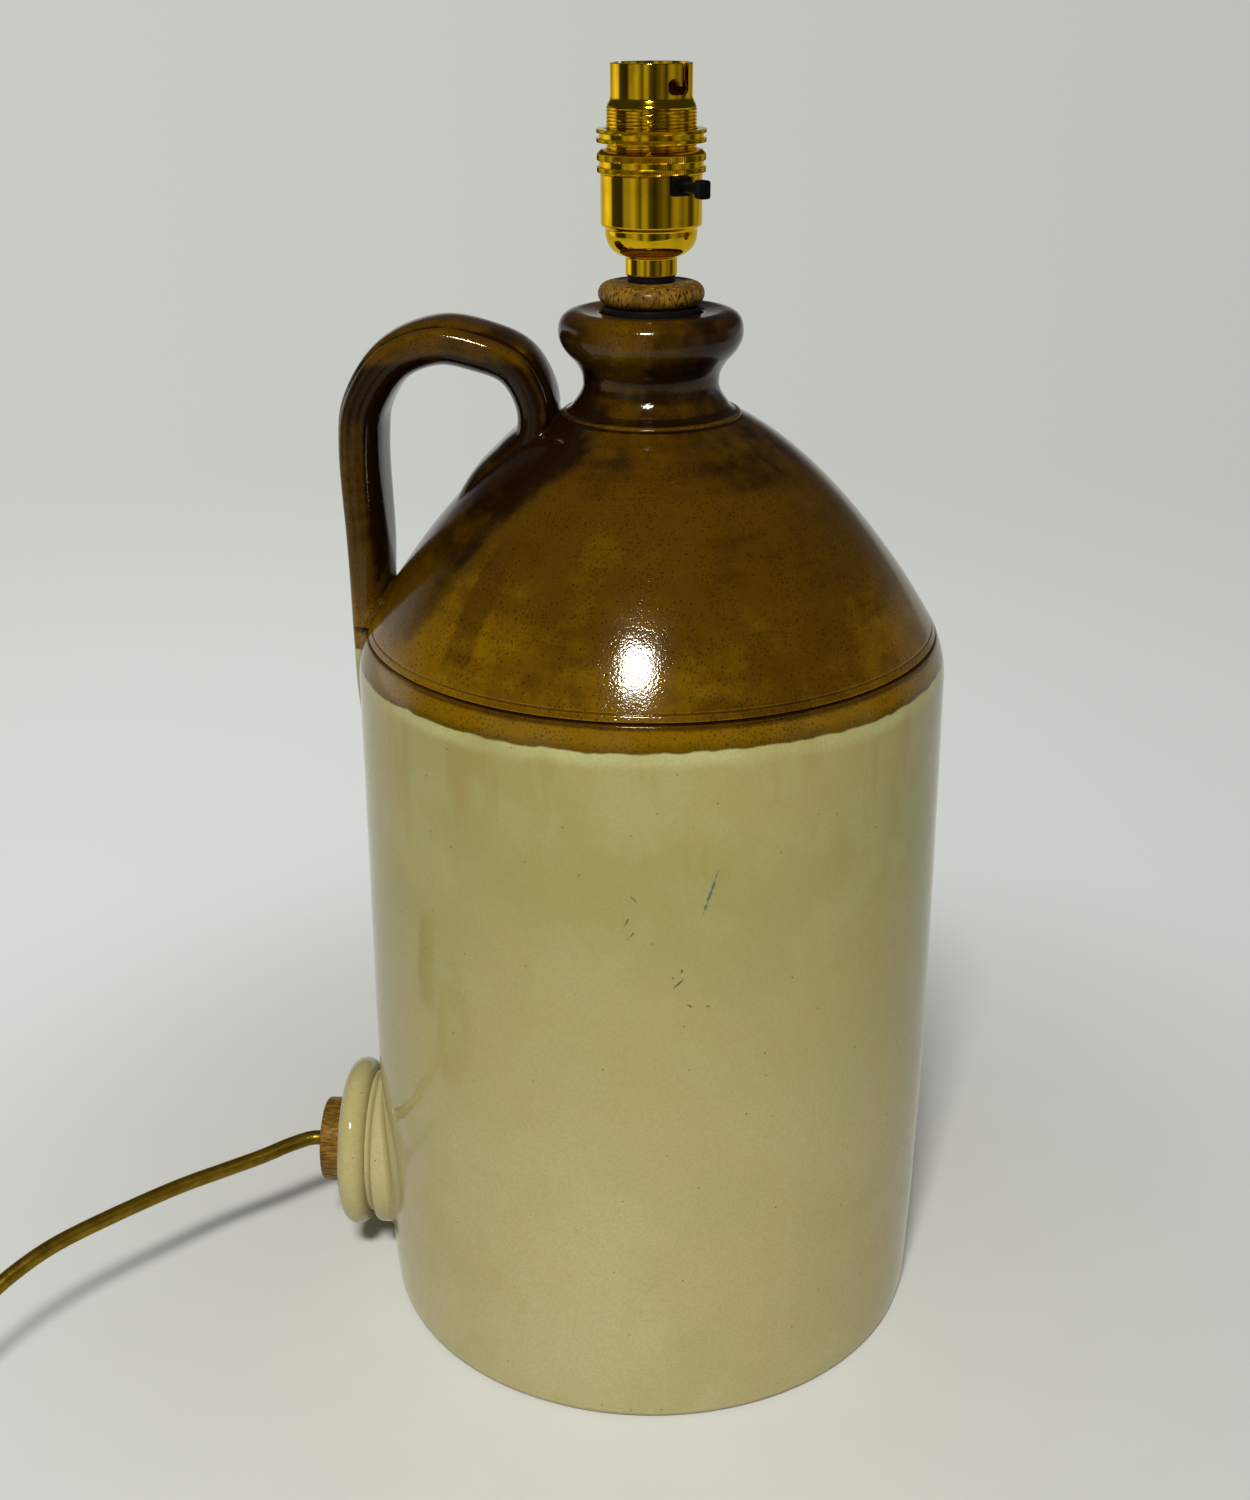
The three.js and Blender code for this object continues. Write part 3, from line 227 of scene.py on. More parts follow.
# %% Draw the flex
def curve_piece(name, spots, radius, resolution=4, sides=5):
    """A round cord through spots, in millimetres, as a curve object of one open spline."""
    data = bpy.data.curves.new(name, "CURVE")
    data.dimensions = "3D"
    data.bevel_depth = 1
    data.bevel_resolution = sides
    data.resolution_u = resolution
    data.use_fill_caps = True
    spline = data.splines.new("BEZIER")
    spline.bezier_points.add(len(spots) - 1)
    for i, spot in enumerate(spots):
        knot = spline.bezier_points[i]
        knot.handle_left_type = knot.handle_right_type = "FREE"
        knot.co = spot * MM
        knot.radius = radius * MM
        before = tangents_between(spots, i - 1)[1] if i > 0 else np.zeros(3)
        after = tangents_between(spots, i)[0] if i + 1 < len(spots) else np.zeros(3)
        knot.handle_left = (spot - before / 3) * MM
        knot.handle_right = (spot + after / 3) * MM
    return put_in_scene(name, data)


flex = curve_piece("flex_lead", flex_spots, flex_radius)
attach(flex, "lamp")
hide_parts("flex", "flex_coil", "flex_tail")
print("flex drawn through", len(flex_spots), "knots")

# %% [markdown]
# ## Nodes for the finishes
# Each finish is a small tree of shader nodes: where a point is on the object goes in, and colour,
# roughness and bump come out. A helper keeps every node to one short line. All the finishes read
# the object's own position in millimetres, so a pattern has its real size on every piece.

# %% Short ways to add nodes
class Nodes:
    """A tree of shader nodes, with short ways to add to it."""

    def __init__(self, tree):
        self.tree = tree

    def feed(self, socket, value):
        if isinstance(value, bpy.types.NodeSocket):
            self.tree.links.new(value, socket)
        else:
            socket.default_value = value

    def add(self, kind, inputs=None, out=0, **settings):
        made = self.tree.nodes.new("ShaderNode" + kind)
        for name, value in settings.items():
            setattr(made, name, value)
        for name, value in (inputs or {}).items():
            self.feed(made.inputs[name], value)
        return made.outputs[out]

    def sum(self, operation, a, b=0.0, c=0.0):
        return self.add("Math", {0: a, 1: b, 2: c}, operation=operation)

    def plus(self, total, *terms):
        for term in terms:
            total = self.sum("ADD", total, term)
        return total

    def times(self, product, *factors):
        for factor in factors:
            product = self.sum("MULTIPLY", product, factor)
        return product

    def ramp(self, value, low, high, start=0.0, end=1.0):
        """start below low, end above high, and a soft step between."""
        inputs = {"Value": value, "From Min": low, "From Max": high, "To Min": start, "To Max": end}
        return self.add("MapRange", inputs, interpolation_type="SMOOTHSTEP")

    def sway(self, noise, amount):
        """A noise made to swing by an amount to both sides of nothing."""
        return self.ramp(noise, 0.3, 0.7, -amount, amount)

    def blend(self, share, a, b):
        """Colour a where share is 0 and colour b where it is 1."""
        a, b = ((*c, 1) if isinstance(c, tuple) else c for c in (a, b))
        return self.add("Mix", {0: share, 6: a, 7: b}, out=2, data_type="RGBA")


def ways_of(kind):
    return ", ".join(name for name in vars(kind) if not name.startswith("_"))


print("ways to add to a tree:", ways_of(Nodes))


# %% A finish, and how a piece gets it
class Finish(Nodes):
    """A material with one glossy shader and the patterns that feed it."""

    def __init__(self, name):
        self.material = bpy.data.materials.new(name)
        self.material.use_nodes = True
        super().__init__(self.material.node_tree)
        self.shader = self.tree.nodes["Principled BSDF"]
        place = self.add("TexCoord", out="Object")
        self.place = self.add("VectorMath", {0: place, 1: (1000, 1000, 1000)}, operation="MULTIPLY")
        self.x, self.y, self.z = self.add("SeparateXYZ", {0: self.place}).node.outputs

    def set(self, **inputs):
        for name, value in inputs.items():
            self.feed(self.shader.inputs[name.replace("_", " ")], value)
        return self

    def stretched(self, x, y, z):
        return self.add("VectorMath", {0: self.place, 1: (x, y, z)}, operation="MULTIPLY")

    def noise(self, size, detail=2.0, roughness=0.5, place=None):
        """Cloudy noise from about 0.3 to 0.7, with blobs of a size in millimetres."""
        place = place or self.place
        inputs = {"Vector": place, "Scale": 1 / size, "Detail": detail, "Roughness": roughness}
        return self.add("TexNoise", inputs)

    def dots(self, size, radius, place=None):
        """1 inside small round dots, one to each cell of a size in millimetres."""
        inputs = {"Vector": place or self.place, "Scale": 1 / size, "Randomness": 1.0}
        return self.ramp(self.add("TexVoronoi", inputs), radius / size, 0.6 * radius / size)

    def bump(self, height, depth):
        """Raised detail, depth in millimetres for a height of 1."""
        return self.set(Normal=self.add("Bump", {"Height": height, "Distance": depth * MM}))


def paint(piece, finish):
    piece.data.materials.clear()
    piece.data.materials.append(finish.material)
    return piece


print("more ways in a finish:", ways_of(Finish))

# %% [markdown]
# ## Table, lamp and room
# The flagon stands on a seamless pale sheet that runs far back and ends just in front of the camera.
# One soft lamp above the camera gives the bright patch on the shoulder, and the place of that patch
# says where the lamp was: 46 degrees up, almost behind the camera. The room does the rest. Dark and
# bright upright panels on the camera's side are what draws the stripes on polished brass.

# %% Floor
pale = (0.70, 0.71, 0.67)
far_pale = (0.56, 0.58, 0.535)
lit_table = (0.69, 0.705, 0.67), (0.585, 0.60, 0.565)
lit_wall = (0.59, 0.605, 0.56), (0.51, 0.525, 0.485)
near_edge, far_edge = -0.82, 120
near_half, far_half = 1.1, 56
behind_lens = 660


def pale_floor():
    """A long sheet. It keeps the lamp's shadow near by, and far off it fades to a glowing backdrop with
    painted light, brighter on the left and dimmer towards the wall.
    """
    mesh = bpy.data.meshes.new("floor")
    corners = [(-near_half, near_edge, 0), (near_half, near_edge, 0),
               (far_half, far_edge, 0), (-far_half, far_edge, 0)]
    mesh.from_pydata(corners, [], [(0, 1, 2, 3)])
    made = put_in_scene("floor", mesh)
    f = Finish("pale sheet")
    cloud = f.ramp(f.noise(40, 4.0), 0.35, 0.65)
    f.set(Base_Color=f.blend(cloud, pale, tuple(0.985 * c for c in pale)))
    f.set(Roughness=0.6, Specular_IOR_Level=0.2)
    away = f.add("VectorMath", {0: f.place}, out="Value", operation="LENGTH")
    far = f.ramp(away, 90, 430)
    # painted light in the backdrop's glow: brighter on the left than the right, and dimmer from the table
    # back to the wall
    side = f.ramp(f.sum("DIVIDE", f.x, f.plus(f.y, behind_lens)), -0.4, 0.4)
    table, wall = f.blend(side, *lit_table), f.blend(side, *lit_wall)
    backdrop = f.blend(f.ramp(away, 400, 1400), table, wall)
    ray_names = ("Is Camera Ray", "Is Glossy Ray", "Is Transmission Ray")
    rays = [f.add("LightPath", out=name) for name in ray_names]
    shown = f.sum("MAXIMUM", f.sum("MAXIMUM", rays[0], rays[1]), rays[2])
    glow = f.add("Emission", {"Color": backdrop, "Strength": 1.0})
    both = f.add("MixShader", {0: f.times(far, shown), 1: f.shader.outputs[0], 2: glow})
    f.feed(f.tree.nodes["Material Output"].inputs["Surface"], both)
    return paint(made, f)


floor = pale_floor()
print("floor, m:", 2 * near_half, "wide in front,", 2 * far_half, "wide far back")

# %% Lamp
lamp_azimuth = math.radians(-6.8)
lamp_height = math.radians(46.6)
lamp_away = 2.2
lamp_aim = Vector((0, 0, 0.2))
lamp_way = Vector((
    math.sin(lamp_azimuth) * math.cos(lamp_height),
    -math.cos(lamp_azimuth) * math.cos(lamp_height),
    math.sin(lamp_height),
))
soft_lamp = put_in_scene("soft lamp", bpy.data.lights.new("soft lamp", "AREA"))
soft_lamp.data.shape = "RECTANGLE"
soft_lamp.data.size = 0.37
soft_lamp.data.size_y = 0.235
soft_lamp.data.energy = 50
soft_lamp.data.color = (1.0, 0.985, 0.96)
soft_lamp.location = lamp_aim + lamp_away * lamp_way
soft_lamp.rotation_mode = "QUATERNION"
soft_lamp.rotation_quaternion = (-lamp_way).to_track_quat("-Z", "Y")
bpy.context.scene.view_settings.view_transform = "Standard"
print("lamp at, m:", tuple(round(v, 2) for v in soft_lamp.location))

# %% [markdown]
# The walls of the room are a strip of light and dark panels round the horizon, so they are kept as a
# list of bearings and levels. They give way to an even, dim ceiling, a little lower down behind the
# lamp than in front of it. The camera itself sees a plain pale wall.

# %% Room
# How bright the room is at each bearing from the camera's side, in degrees towards the right
panels = [
    (-180, 0.80), (-164, 0.75), (-150, 0.25), (-138, 0.60), (-120, 1.25), (-106, 1.00), (-98, 0.06),
    (-70, 0.03), (-62, 0.40), (-54, 0.36), (-41, 0.62), (-32, 0.28), (-25, 0.10), (-18, 0.50),
    (-11, 0.46), (-5, 0.10), (8, 0.03), (22, 0.12), (30, 0.20), (42, 0.04), (52, 0.34), (60, 0.42),
    (74, 0.18), (86, 0.30), (94, 0.08), (104, 0.05), (118, 0.42), (130, 0.34), (152, 0.16),
    (166, 0.50), (180, 0.66),
]
ceiling = 0.05
ceiling_from, ceiling_full, lower_behind = 0.08, 0.36, 0.13


def room():
    world = bpy.data.worlds.new("room")
    bpy.context.scene.world = world
    world.use_nodes = True
    n = Nodes(world.node_tree)
    way = n.add("TexCoord", out="Generated")
    x, y, z = (n.add("SeparateXYZ", {0: way}, out=i) for i in range(3))
    front = n.times(y, -1.0)
    share = n.sum("MULTIPLY_ADD", n.sum("ARCTAN2", x, front), 0.5 / math.pi, 0.5)
    walls = n.add("ValToRGB", {0: share})
    stops = walls.node.color_ramp.elements
    for degrees, level in panels:
        at_end = {-180: stops[0], 180: stops[-1]}
        stop = at_end.get(degrees) or stops.new(degrees / 360 + 0.5)
        stop.color = (level, 0.985 * level, 0.94 * level, 1)
    high = n.ramp(n.sum("MULTIPLY_ADD", front, -lower_behind, z), ceiling_from, ceiling_full)
    light = n.blend(high, walls, (ceiling, ceiling, 0.95 * ceiling))
    shown = n.blend(n.add("LightPath", out="Is Camera Ray"), light, far_pale)
    background = n.tree.nodes["Background"]
    n.feed(background.inputs["Color"], shown)
    n.feed(background.inputs["Strength"], 1.0)


room()
print("panels in the room:", len(panels))

# %% [markdown]
# ## Making the pieces
# Most of this lamp was turned: on a wheel, or on a lathe. A turned piece is a profile spun about an
# axis, so the profile is where the care goes. Its corners are softened, because a real edge is never
# sharp and a soft one catches the light. Vertices come from arrays, which is exact and fast.

# %% Profiles
def bend2(a, b, c, steps):
    """Points on a curve from a to c that is pulled towards b."""
    t = np.linspace(0, 1, steps + 1)[:, None]
    return (1 - t) ** 2 * np.array(a) + 2 * (1 - t) * t * np.array(b) + t**2 * np.array(c)


def bend3(a, b, c, d, steps):
    """Points on a curve from a to d that is pulled towards b, then towards c."""
    t = np.linspace(0, 1, steps + 1)[:, None]
    a, b, c, d = map(np.array, (a, b, c, d))
    return (1 - t) ** 3 * a + 3 * (1 - t) ** 2 * t * b + 3 * (1 - t) * t**2 * c + t**3 * d


def half_round(middle, half, steps):
    """Half a circle about a middle, from its low side outward to its high side."""
    turn = np.linspace(-math.pi / 2, math.pi / 2, steps)
    return np.stack([middle[0] + half * np.cos(turn), middle[1] + half * np.sin(turn)], 1)


def softened(profile, radius, steps=3):
    """The same profile with each corner between its ends rounded."""
    rows = [np.array(p, float) for p in profile]
    made = [rows[0]]
    for before, corner, after in zip(rows, rows[1:], rows[2:]):
        reach_in, reach_out = np.linalg.norm(corner - before), np.linalg.norm(after - corner)
        cut = min(radius, 0.45 * reach_in, 0.45 * reach_out)
        start = corner + (before - corner) * cut / reach_in
        end = corner + (after - corner) * cut / reach_out
        made.extend(bend2(start, corner, end, steps))
    made.append(rows[-1])
    return np.array(made)


def spaced(profile, step):
    """Points along a profile at even steps. step may be a function of radius and height."""
    rows = np.asarray(profile, float)
    made = [rows[0]]
    for a, b in zip(rows, rows[1:]):
        size = step(*(a + b) / 2) if callable(step) else step
        count = max(1, math.ceil(np.linalg.norm(b - a) / size))
        made.extend(a + (b - a) * i / count for i in range(1, count + 1))
    return np.array(made)


print("one softened corner:", softened([(0, 0), (1, 0), (1, 1)], 0.3).round(2).tolist())


# %% Skins through rings of points
def ring_faces(rows, sides):
    """The four-sided faces between rows of points that each go once round."""
    i, j = np.meshgrid(np.arange(rows - 1), np.arange(sides), indexing="ij")
    k = (j + 1) % sides
    corners = [i * sides + j, i * sides + k, (i + 1) * sides + k, (i + 1) * sides + j]
    return np.stack(corners, -1).reshape(-1, 4)


def spun(profile, sides, radius_at=None):
    """Points and faces of a profile spun about Z. radius_at(angle, radius, height) may shape it."""
    rows = np.asarray(profile, float)
    angle = np.arange(sides) * 2 * math.pi / sides
    r = np.repeat(rows[:, :1], sides, 1)
    z = np.repeat(rows[:, 1:], sides, 1)
    if radius_at:
        r = radius_at(np.repeat(angle[None], len(rows), 0), r, z)
    points = np.stack([r * np.cos(angle), r * np.sin(angle), z], -1).reshape(-1, 3)
    return points, ring_faces(len(rows), sides)


def swept(rings):
    """Points and faces of a closed skin through rings of points, with a flat cap at each end."""
    rings = np.asarray(rings, float)
    rows, count = rings.shape[:2]
    caps = [list(range(count))[::-1], list(range((rows - 1) * count, rows * count))]
    return rings.reshape(-1, 3), [*ring_faces(rows, count).tolist(), *caps]


print("faces of a cup with 3 rows of 8:", len(spun([(1, 0), (2, 1), (2, 2)], 8)[1]))


# %% Pieces from points
def facing_out(azimuth, height):
    """The frame of a piece whose own Z points level, out from the axis of the lamp."""
    turn = Matrix.Rotation(azimuth, 4, "Z") @ Matrix.Rotation(math.pi / 2, 4, "Y")
    return Matrix.Translation((0, 0, height * MM)) @ turn


def moved(x, y, z):
    return Matrix.Translation((x * MM, y * MM, z * MM))


def smooth_shaded(mesh, sharp_degrees):
    """Smooth faces, with the edges that turn more than this kept sharp, and all normals outward."""
    work = bmesh.new()
    work.from_mesh(mesh)
    bmesh.ops.remove_doubles(work, verts=work.verts, dist=1e-6)
    bmesh.ops.dissolve_degenerate(work, edges=work.edges, dist=1e-7)
    bmesh.ops.recalc_face_normals(work, faces=work.faces)
    limit = math.radians(sharp_degrees)
    for edge in work.edges:
        edge.smooth = len(edge.link_faces) != 2 or edge.calc_face_angle(0) < limit
    for face in work.faces:
        face.smooth = True
    work.to_mesh(mesh)
    work.free()


def add_piece(name, made, frame_matrix=None, sharp_degrees=35):
    """A mesh object from points in millimetres and faces."""
    points, faces = made
    mesh = bpy.data.meshes.new(name)
    corners = [tuple(f) for f in np.asarray(faces, object).tolist()]
    mesh.from_pydata((np.asarray(points) * MM).tolist(), [], corners)
    if frame_matrix is not None:
        mesh.transform(frame_matrix)
    smooth_shaded(mesh, sharp_degrees)
    return put_in_scene(name, mesh)


def combined(piece, how, *others, sharp_degrees=35):
    """Joins other closed pieces to this one, or cuts them from it, and takes them away."""
    for other in others:
        change = piece.modifiers.new("change", "BOOLEAN")
        change.operation = how
        change.solver = "MANIFOLD"
        change.object = other
    graph = bpy.context.evaluated_depsgraph_get()
    mesh = bpy.data.meshes.new_from_object(piece.evaluated_get(graph))
    piece.modifiers.clear()
    piece.data = mesh
    for other in others:
        bpy.data.objects.remove(other)
    smooth_shaded(mesh, sharp_degrees)
    return piece


def place_piece(piece, body, slot, finish, *nodes):
    """Rides a finished piece on its body and lets it stand for its solids."""
    paint(piece, finish)
    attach(piece, body)
    if nodes:
        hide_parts(*nodes)
    return piece


print("one millimetre up is", moved(0, 0, 1).translation.z, "m in the scene")

# %% [markdown]
# ## The flagon
# The real one was thrown on a wheel in brown-grey stoneware clay. Its handle is a pulled strap and
# its outlet a small thrown ring, and both were stuck on with wet clay before the firing, so all
# three are one piece of pot. They are made apart here too, then joined as closed solids.
# The cavity, the bore of the neck and the hole of the outlet are cut last, as a drill would.

# %% Sizes of the flagon, in millimetres
wall_radius, edge_radius, belly_height = 101.4, 100.7, 100
edge_height, shoulder_height, shoulder_radius = 243, 258, 97.4
ledge_height, score_height = 258.6, 260.9
neck_foot, ridge, neck = (29.8, 331), (28, 332.1), (22.4, 341.5)
collar_taper, collar, rim = (27, 350.4), (30.3, 357.7), (23.5, 364.5)
mouth_radius, mouth_height, neck_floor = 16.7, 363.8, 333
pull, low_slope, high_slope = 29.3, math.radians(61), math.radians(26)


def shoulder_curve(inset, steps):
    low = np.array([shoulder_radius - inset, shoulder_height - inset / 2])
    high = np.array([neck_foot[0] - inset, neck_foot[1] - inset / 2])
    low_pull = pull * np.array([-math.cos(low_slope), math.sin(low_slope)])
    high_pull = pull * np.array([math.cos(high_slope), -math.sin(high_slope)])
    return bend3(low, low + low_pull, high + high_pull, high, steps)


def flagon_outline():
    """From the middle of the foot, up the outside and over the lip, down to the neck's floor."""
    shoulder = shoulder_curve(0, 60)
    bore, lip = mouth_radius, rim[1]
    return np.vstack([
        [(0, 1.2), (84, 1.2), (90, 0)],
        bend2((96, 0), (98.5, 0), (98.5, 2.5), 8),
        bend2((98.5, 2.5), (wall_radius - 1.1, 9), (wall_radius, belly_height), 60),
        [(edge_radius, edge_height)],
        bend2((edge_radius, edge_height), (edge_radius, 250.5), shoulder[0], 12)[1:],
        shoulder[1:],
        bend2(neck_foot, (neck_foot[0], ridge[1]), ridge, 8)[1:],
        bend2(ridge, (neck[0], 337.5), neck, 14)[1:],
        bend2(neck, (neck[0], 345.9), collar_taper, 8)[1:],
        bend2(collar_taper, (collar[0], 354), collar, 12)[1:],
        bend2(collar, (collar[0], lip), rim, 16)[1:],
        bend2((bore + 0.9, lip - 0.5), (bore, lip - 0.6), (bore, lip - 1.6), 4),
        [(bore, neck_floor), (0, neck_floor)],
    ])


def row_step(radius, height):
    """How far apart the rows of points may be: close at the ledge, wide where nobody looks."""
    if radius > 90 and ledge_height - 2 < height < score_height + 0.8:
        return 0.16
    if radius < 12 or height < 1.5:
        return 8
    return 0.7 if height > 326 else 1.2


body_profile = spaced(flagon_outline(), row_step)
print("rows of points up the flagon:", len(body_profile))

# %% [markdown]
# A thrown wall is never quite round or quite smooth. Fingers leave fine waves in it, the rib that
# trimmed the shoulder left a ledge with a thin line above it, and a bead runs round the neck's foot.

# %% Throw the body
ledge_depth, line_depth, bead_rise, bead_groove, neck_step = 0.7, 0.22, 0.3, 0.25, 0.12
ledge_above, ledge_below, line_width, bead_width = 0.25, 0.9, 0.28, 0.8
bead_at, groove_under, step_at, step_width = 331.2, 333.6, 342.2, 1.6
glaze_inset = 0.1


def bell(value, middle, width):
    return np.exp(-(((value - middle) / width) ** 2))


def thrown(angle, r, z):
    """The radius of the outside, with its waves, sway, ledge, line and bead."""
    outer = (r > mouth_radius + 1) & (z > 3)
    wave = 0.014 * np.sin(z / 1.9 + 0.5 * np.sin(angle + z / 30)) * np.sin(z / 23 + 1)
    wave = wave + 0.03 * np.sin(z / 5.3 + angle)
    sway = 0.16 * np.sin(2 * angle + z / 60) + 0.1 * np.sin(3 * angle - z / 45)
    above = z - ledge_height - 0.08 * np.sin(2 * angle + 1)
    ledge = np.where(above > 0, 1 - above / ledge_above, 1 + above / ledge_below)
    cut = ledge_depth * np.clip(ledge, 0, 1)
    cut = cut + line_depth * bell(above, score_height - ledge_height, line_width)
    bead = bead_rise * bell(z, bead_at, bead_width) - bead_groove * bell(z, groove_under, bead_width)
    bead = bead + neck_step * bell(z, step_at, step_width)
    level = np.clip((z - 3) / 20, 0, 1)
    relief = np.where(r > 90, -cut, 0) + np.where((r < 40) & (z > 325), bead, 0)
    return r + np.where(outer, level * (wave + sway) + relief - glaze_inset, 0)


flagon = add_piece("flagon", spun(body_profile, 288, thrown), sharp_degrees=50)
print("flagon body:", len(flagon.data.vertices), "points")

# %% [markdown]
# ### The strap of the handle
# A handle is pulled from a lump of wet clay, so it thins towards its tail, and a finger drawn twice
# along its outer face leaves three soft ridges. Each slice is a flattened round whose outer side is
# pressed in at two places. The slices follow the same middle line as the solid handle.

# %% Handle
handle_near, handle_far, handle_foot, handle_top = 36.6, 97.5, 212, 354.8
strap_width, strap_depth, groove_depth = 34, 15.2, 1.9
groove_share, groove_width, edge_round, groove_press = 0.64, 0.09, 0.45, 0.7
handle_azimuth = math.radians(175.5)
# Shares: how far out, how far up, how wide and how thick, from the neck's end to the tail
strap_rows = np.array([
    [0.975, 0.0, 0.5, 0.66], [1.0, 0.14, 0.62, 0.76], [0.99, 0.3, 0.86, 0.87], [0.98, 0.506, 1.0, 0.96],
    [0.989, 0.756, 1.0, 1.0], [0.955, 0.85, 1.0, 1.0], [0.787, 0.954, 1.0, 1.0], [0.541, 0.996, 1.0, 1.0],
    [0.329, 0.984, 1.0, 1.0], [0.118, 0.945, 1.0, 0.96], [0.014, 0.861, 1.0, 0.9], [0.03, 0.785, 1.0, 0.82],
    [0.15, 0.735, 1.0, 0.76], [0.3, 0.675, 0.96, 0.7], [0.42, 0.6, 0.9, 0.64],
])


def strap_slice(centre, outward, across, width, depth, groove):
    angle = np.linspace(0, 2 * math.pi, 96, endpoint=False)
    c, s = np.cos(angle), np.sin(angle)
    w = np.sign(c) * np.abs(c) ** 0.6
    n = np.sign(s) * np.abs(s) ** np.where(s > 0, 0.6, 1.05)
    off = np.abs(w)
    rounded = edge_round * np.clip(off / groove_share, 0, 1) ** 2 * np.clip((1 - off) / 0.2, 0, 1)
    pressed = rounded + groove_press * bell(off, groove_share, groove_width)
    pressed = pressed * np.clip(s * 3, 0, 1)
    side = (w * width / 2)[:, None] * across
    return centre + side + (n * depth / 2 - groove * pressed)[:, None] * outward


def handle_strap(steps=150):
    reach, rise = handle_far - handle_near, handle_top - handle_foot
    spots = np.array([[handle_near + out * reach, 0, handle_foot + up_share * rise]
                      for out, up_share in strap_rows[:, :2]])
    across = np.array([0, -1.0, 0])
    slices = []
    for t in np.linspace(0, len(spots) - 1, steps + 1):
        centre, along = along_curve(spots, t)
        outward = np.cross(along / np.linalg.norm(along), across)
        width, depth = (np.interp(t, range(len(spots)), strap_rows[:, i]) for i in (2, 3))
        width *= 1 + 0.012 * math.sin(t * 1.7)
        sizes_here = strap_width * width, strap_depth * depth, groove_depth * min(1, t / 1.5)
        slices.append(strap_slice(centre, outward, across, *sizes_here))
    return swept(slices)


strap_turn = Matrix.Rotation(handle_azimuth, 4, "Z")
strap = add_piece("strap", handle_strap(), strap_turn, sharp_degrees=60)
print("strap:", len(strap.data.vertices), "points")

# %% [markdown]
# ### The outlet
# The boss was thrown as a small ring with a thick round rim, and its foot was trimmed to a step
# against the wall. A tap was once driven into its tapered hole.

# %% Boss
bung_depth, waist_depth, groove_at, rim_back, rim_face = 88, 104, 105.8, 106.7, 116.9
boss_radius, waist_radius, groove_radius = 31, 29.4, 27
rim_middle, rim_half = (26.9, 111.8), 5.1
hole_radius, hole_taper = 15.6, 2.2
outlet_frame = facing_out(side_azimuth, outlet_height)


def boss_outline():
    rim_round = half_round(rim_middle, rim_half, 25)
    waist, groove = (waist_radius, waist_depth), (groove_radius, groove_at)
    return np.vstack([
        [(0, 92), (boss_radius, 92), (boss_radius, wall_radius)],
        bend2((boss_radius, wall_radius), (boss_radius, waist_depth), waist, 10),
        bend2(waist, (groove_radius, waist_depth), groove, 8)[1:],
        bend2(groove, (groove_radius, rim_back), rim_round[0], 4)[1:],
        rim_round[1:],
        [(0, rim_face)],
    ])


def hand_made(angle, r, z):
    """The radius of the boss's outside, a little out of round."""
    outer = r > hole_radius + 1
    sway = 0.12 * np.sin(3 * angle + z / 3) + 0.1 * np.sin(2 * angle + 1)
    return r + np.where(outer, sway, 0) - 0.15 * outer


boss = add_piece("boss", spun(spaced(boss_outline(), 0.8), 160, hand_made), outlet_frame)
print("boss stands out from the wall, mm:", round(rim_face - wall_radius, 1))

# %% [markdown]
# The inside follows the outside at 8 mm, as an even wall dries and fires best. The hole for the tap
# narrows inward, and its mouth is flared a little.

# %% Cavity and hole
wall, floor_height, floor_corner = 8, 10, 8


def hole_outline():
    back, narrow = bung_depth - 6, hole_radius - hole_taper
    return [
        (0, back), (narrow, back), (narrow, bung_depth), (hole_radius, rim_face - 0.7),
        (hole_radius + 0.9, rim_face + 0.2), (hole_radius + 2, rim_face + 2), (0, rim_face + 2),
    ]


def cavity_outline():
    inner, corner = wall_radius - wall, floor_corner
    return np.vstack([
        [(0, floor_height), (inner - corner, floor_height)],
        bend2((inner - corner, floor_height), (inner, floor_height), (inner, floor_height + corner), 6)[1:],
        [(inner, edge_height)],
        shoulder_curve(wall, 12),
        [(14.9, 328.3), (14.9, neck_floor + 1), (0, neck_floor + 1)],
    ])


cavity = add_piece("cavity", spun(cavity_outline(), 64))
hole = add_piece("hole", spun(hole_outline(), 96), outlet_frame)
print("wall:", wall, "mm, hole:", 2 * hole_radius, "mm at its mouth")

# %% [markdown]
# ### Luting
# Where the handle and the boss meet the wall, a wet finger smoothed the clay into the corner. The
# join's own points are the ones that neither piece had before, so the points close to them are
# evened out a little.

# %% Join and smooth
def read_vectors(items, key):
    values = np.empty(len(items) * 3)
    items.foreach_get(key, values)
    return values.reshape(-1, 3)


def edges_of(mesh):
    pairs = np.empty(len(mesh.edges) * 2, int)
    mesh.edges.foreach_get("vertices", pairs)
    return pairs.reshape(-1, 2)


def tree_of(spots):
    tree = KDTree(len(spots))
    for i, spot in enumerate(spots):
        tree.insert(spot, i)
    tree.balance()
    return tree


def evened(values, edges, weight, rounds):
    """Each value moved by its weight towards the mean of its neighbours, a number of times."""
    values = values.copy()
    count = np.bincount(edges.ravel(), minlength=len(values))[:, None].clip(1)
    for _ in range(rounds):
        total = np.zeros_like(values)
        np.add.at(total, edges[:, 0], values[edges[:, 1]])
        np.add.at(total, edges[:, 1], values[edges[:, 0]])
        values += weight[:, None] * (total / count - values)
    return values


def joined_smoothly(base, other, reach, rounds):
    """Joins a piece to the base and evens the points within a reach, in metres, of the seam."""
    before = tree_of(np.vstack([read_vectors(p.data.vertices, "co") for p in (base, other)]))
    combined(base, "UNION", other)
    spots = read_vectors(base.data.vertices, "co")
    seam = np.array([spot for spot in spots if before.find(spot)[2] > 2e-6])
    tree = tree_of(seam)
    near = np.array([max(0.0, 1 - tree.find(spot)[2] / reach) for spot in spots])
    smooth = evened(spots, edges_of(base.data), 0.5 * near, rounds)
    base.data.vertices.foreach_set("co", smooth.ravel())
    base.data.update()
    print("join of", len(seam), "points, up to", np.round(seam.max(0), 3))


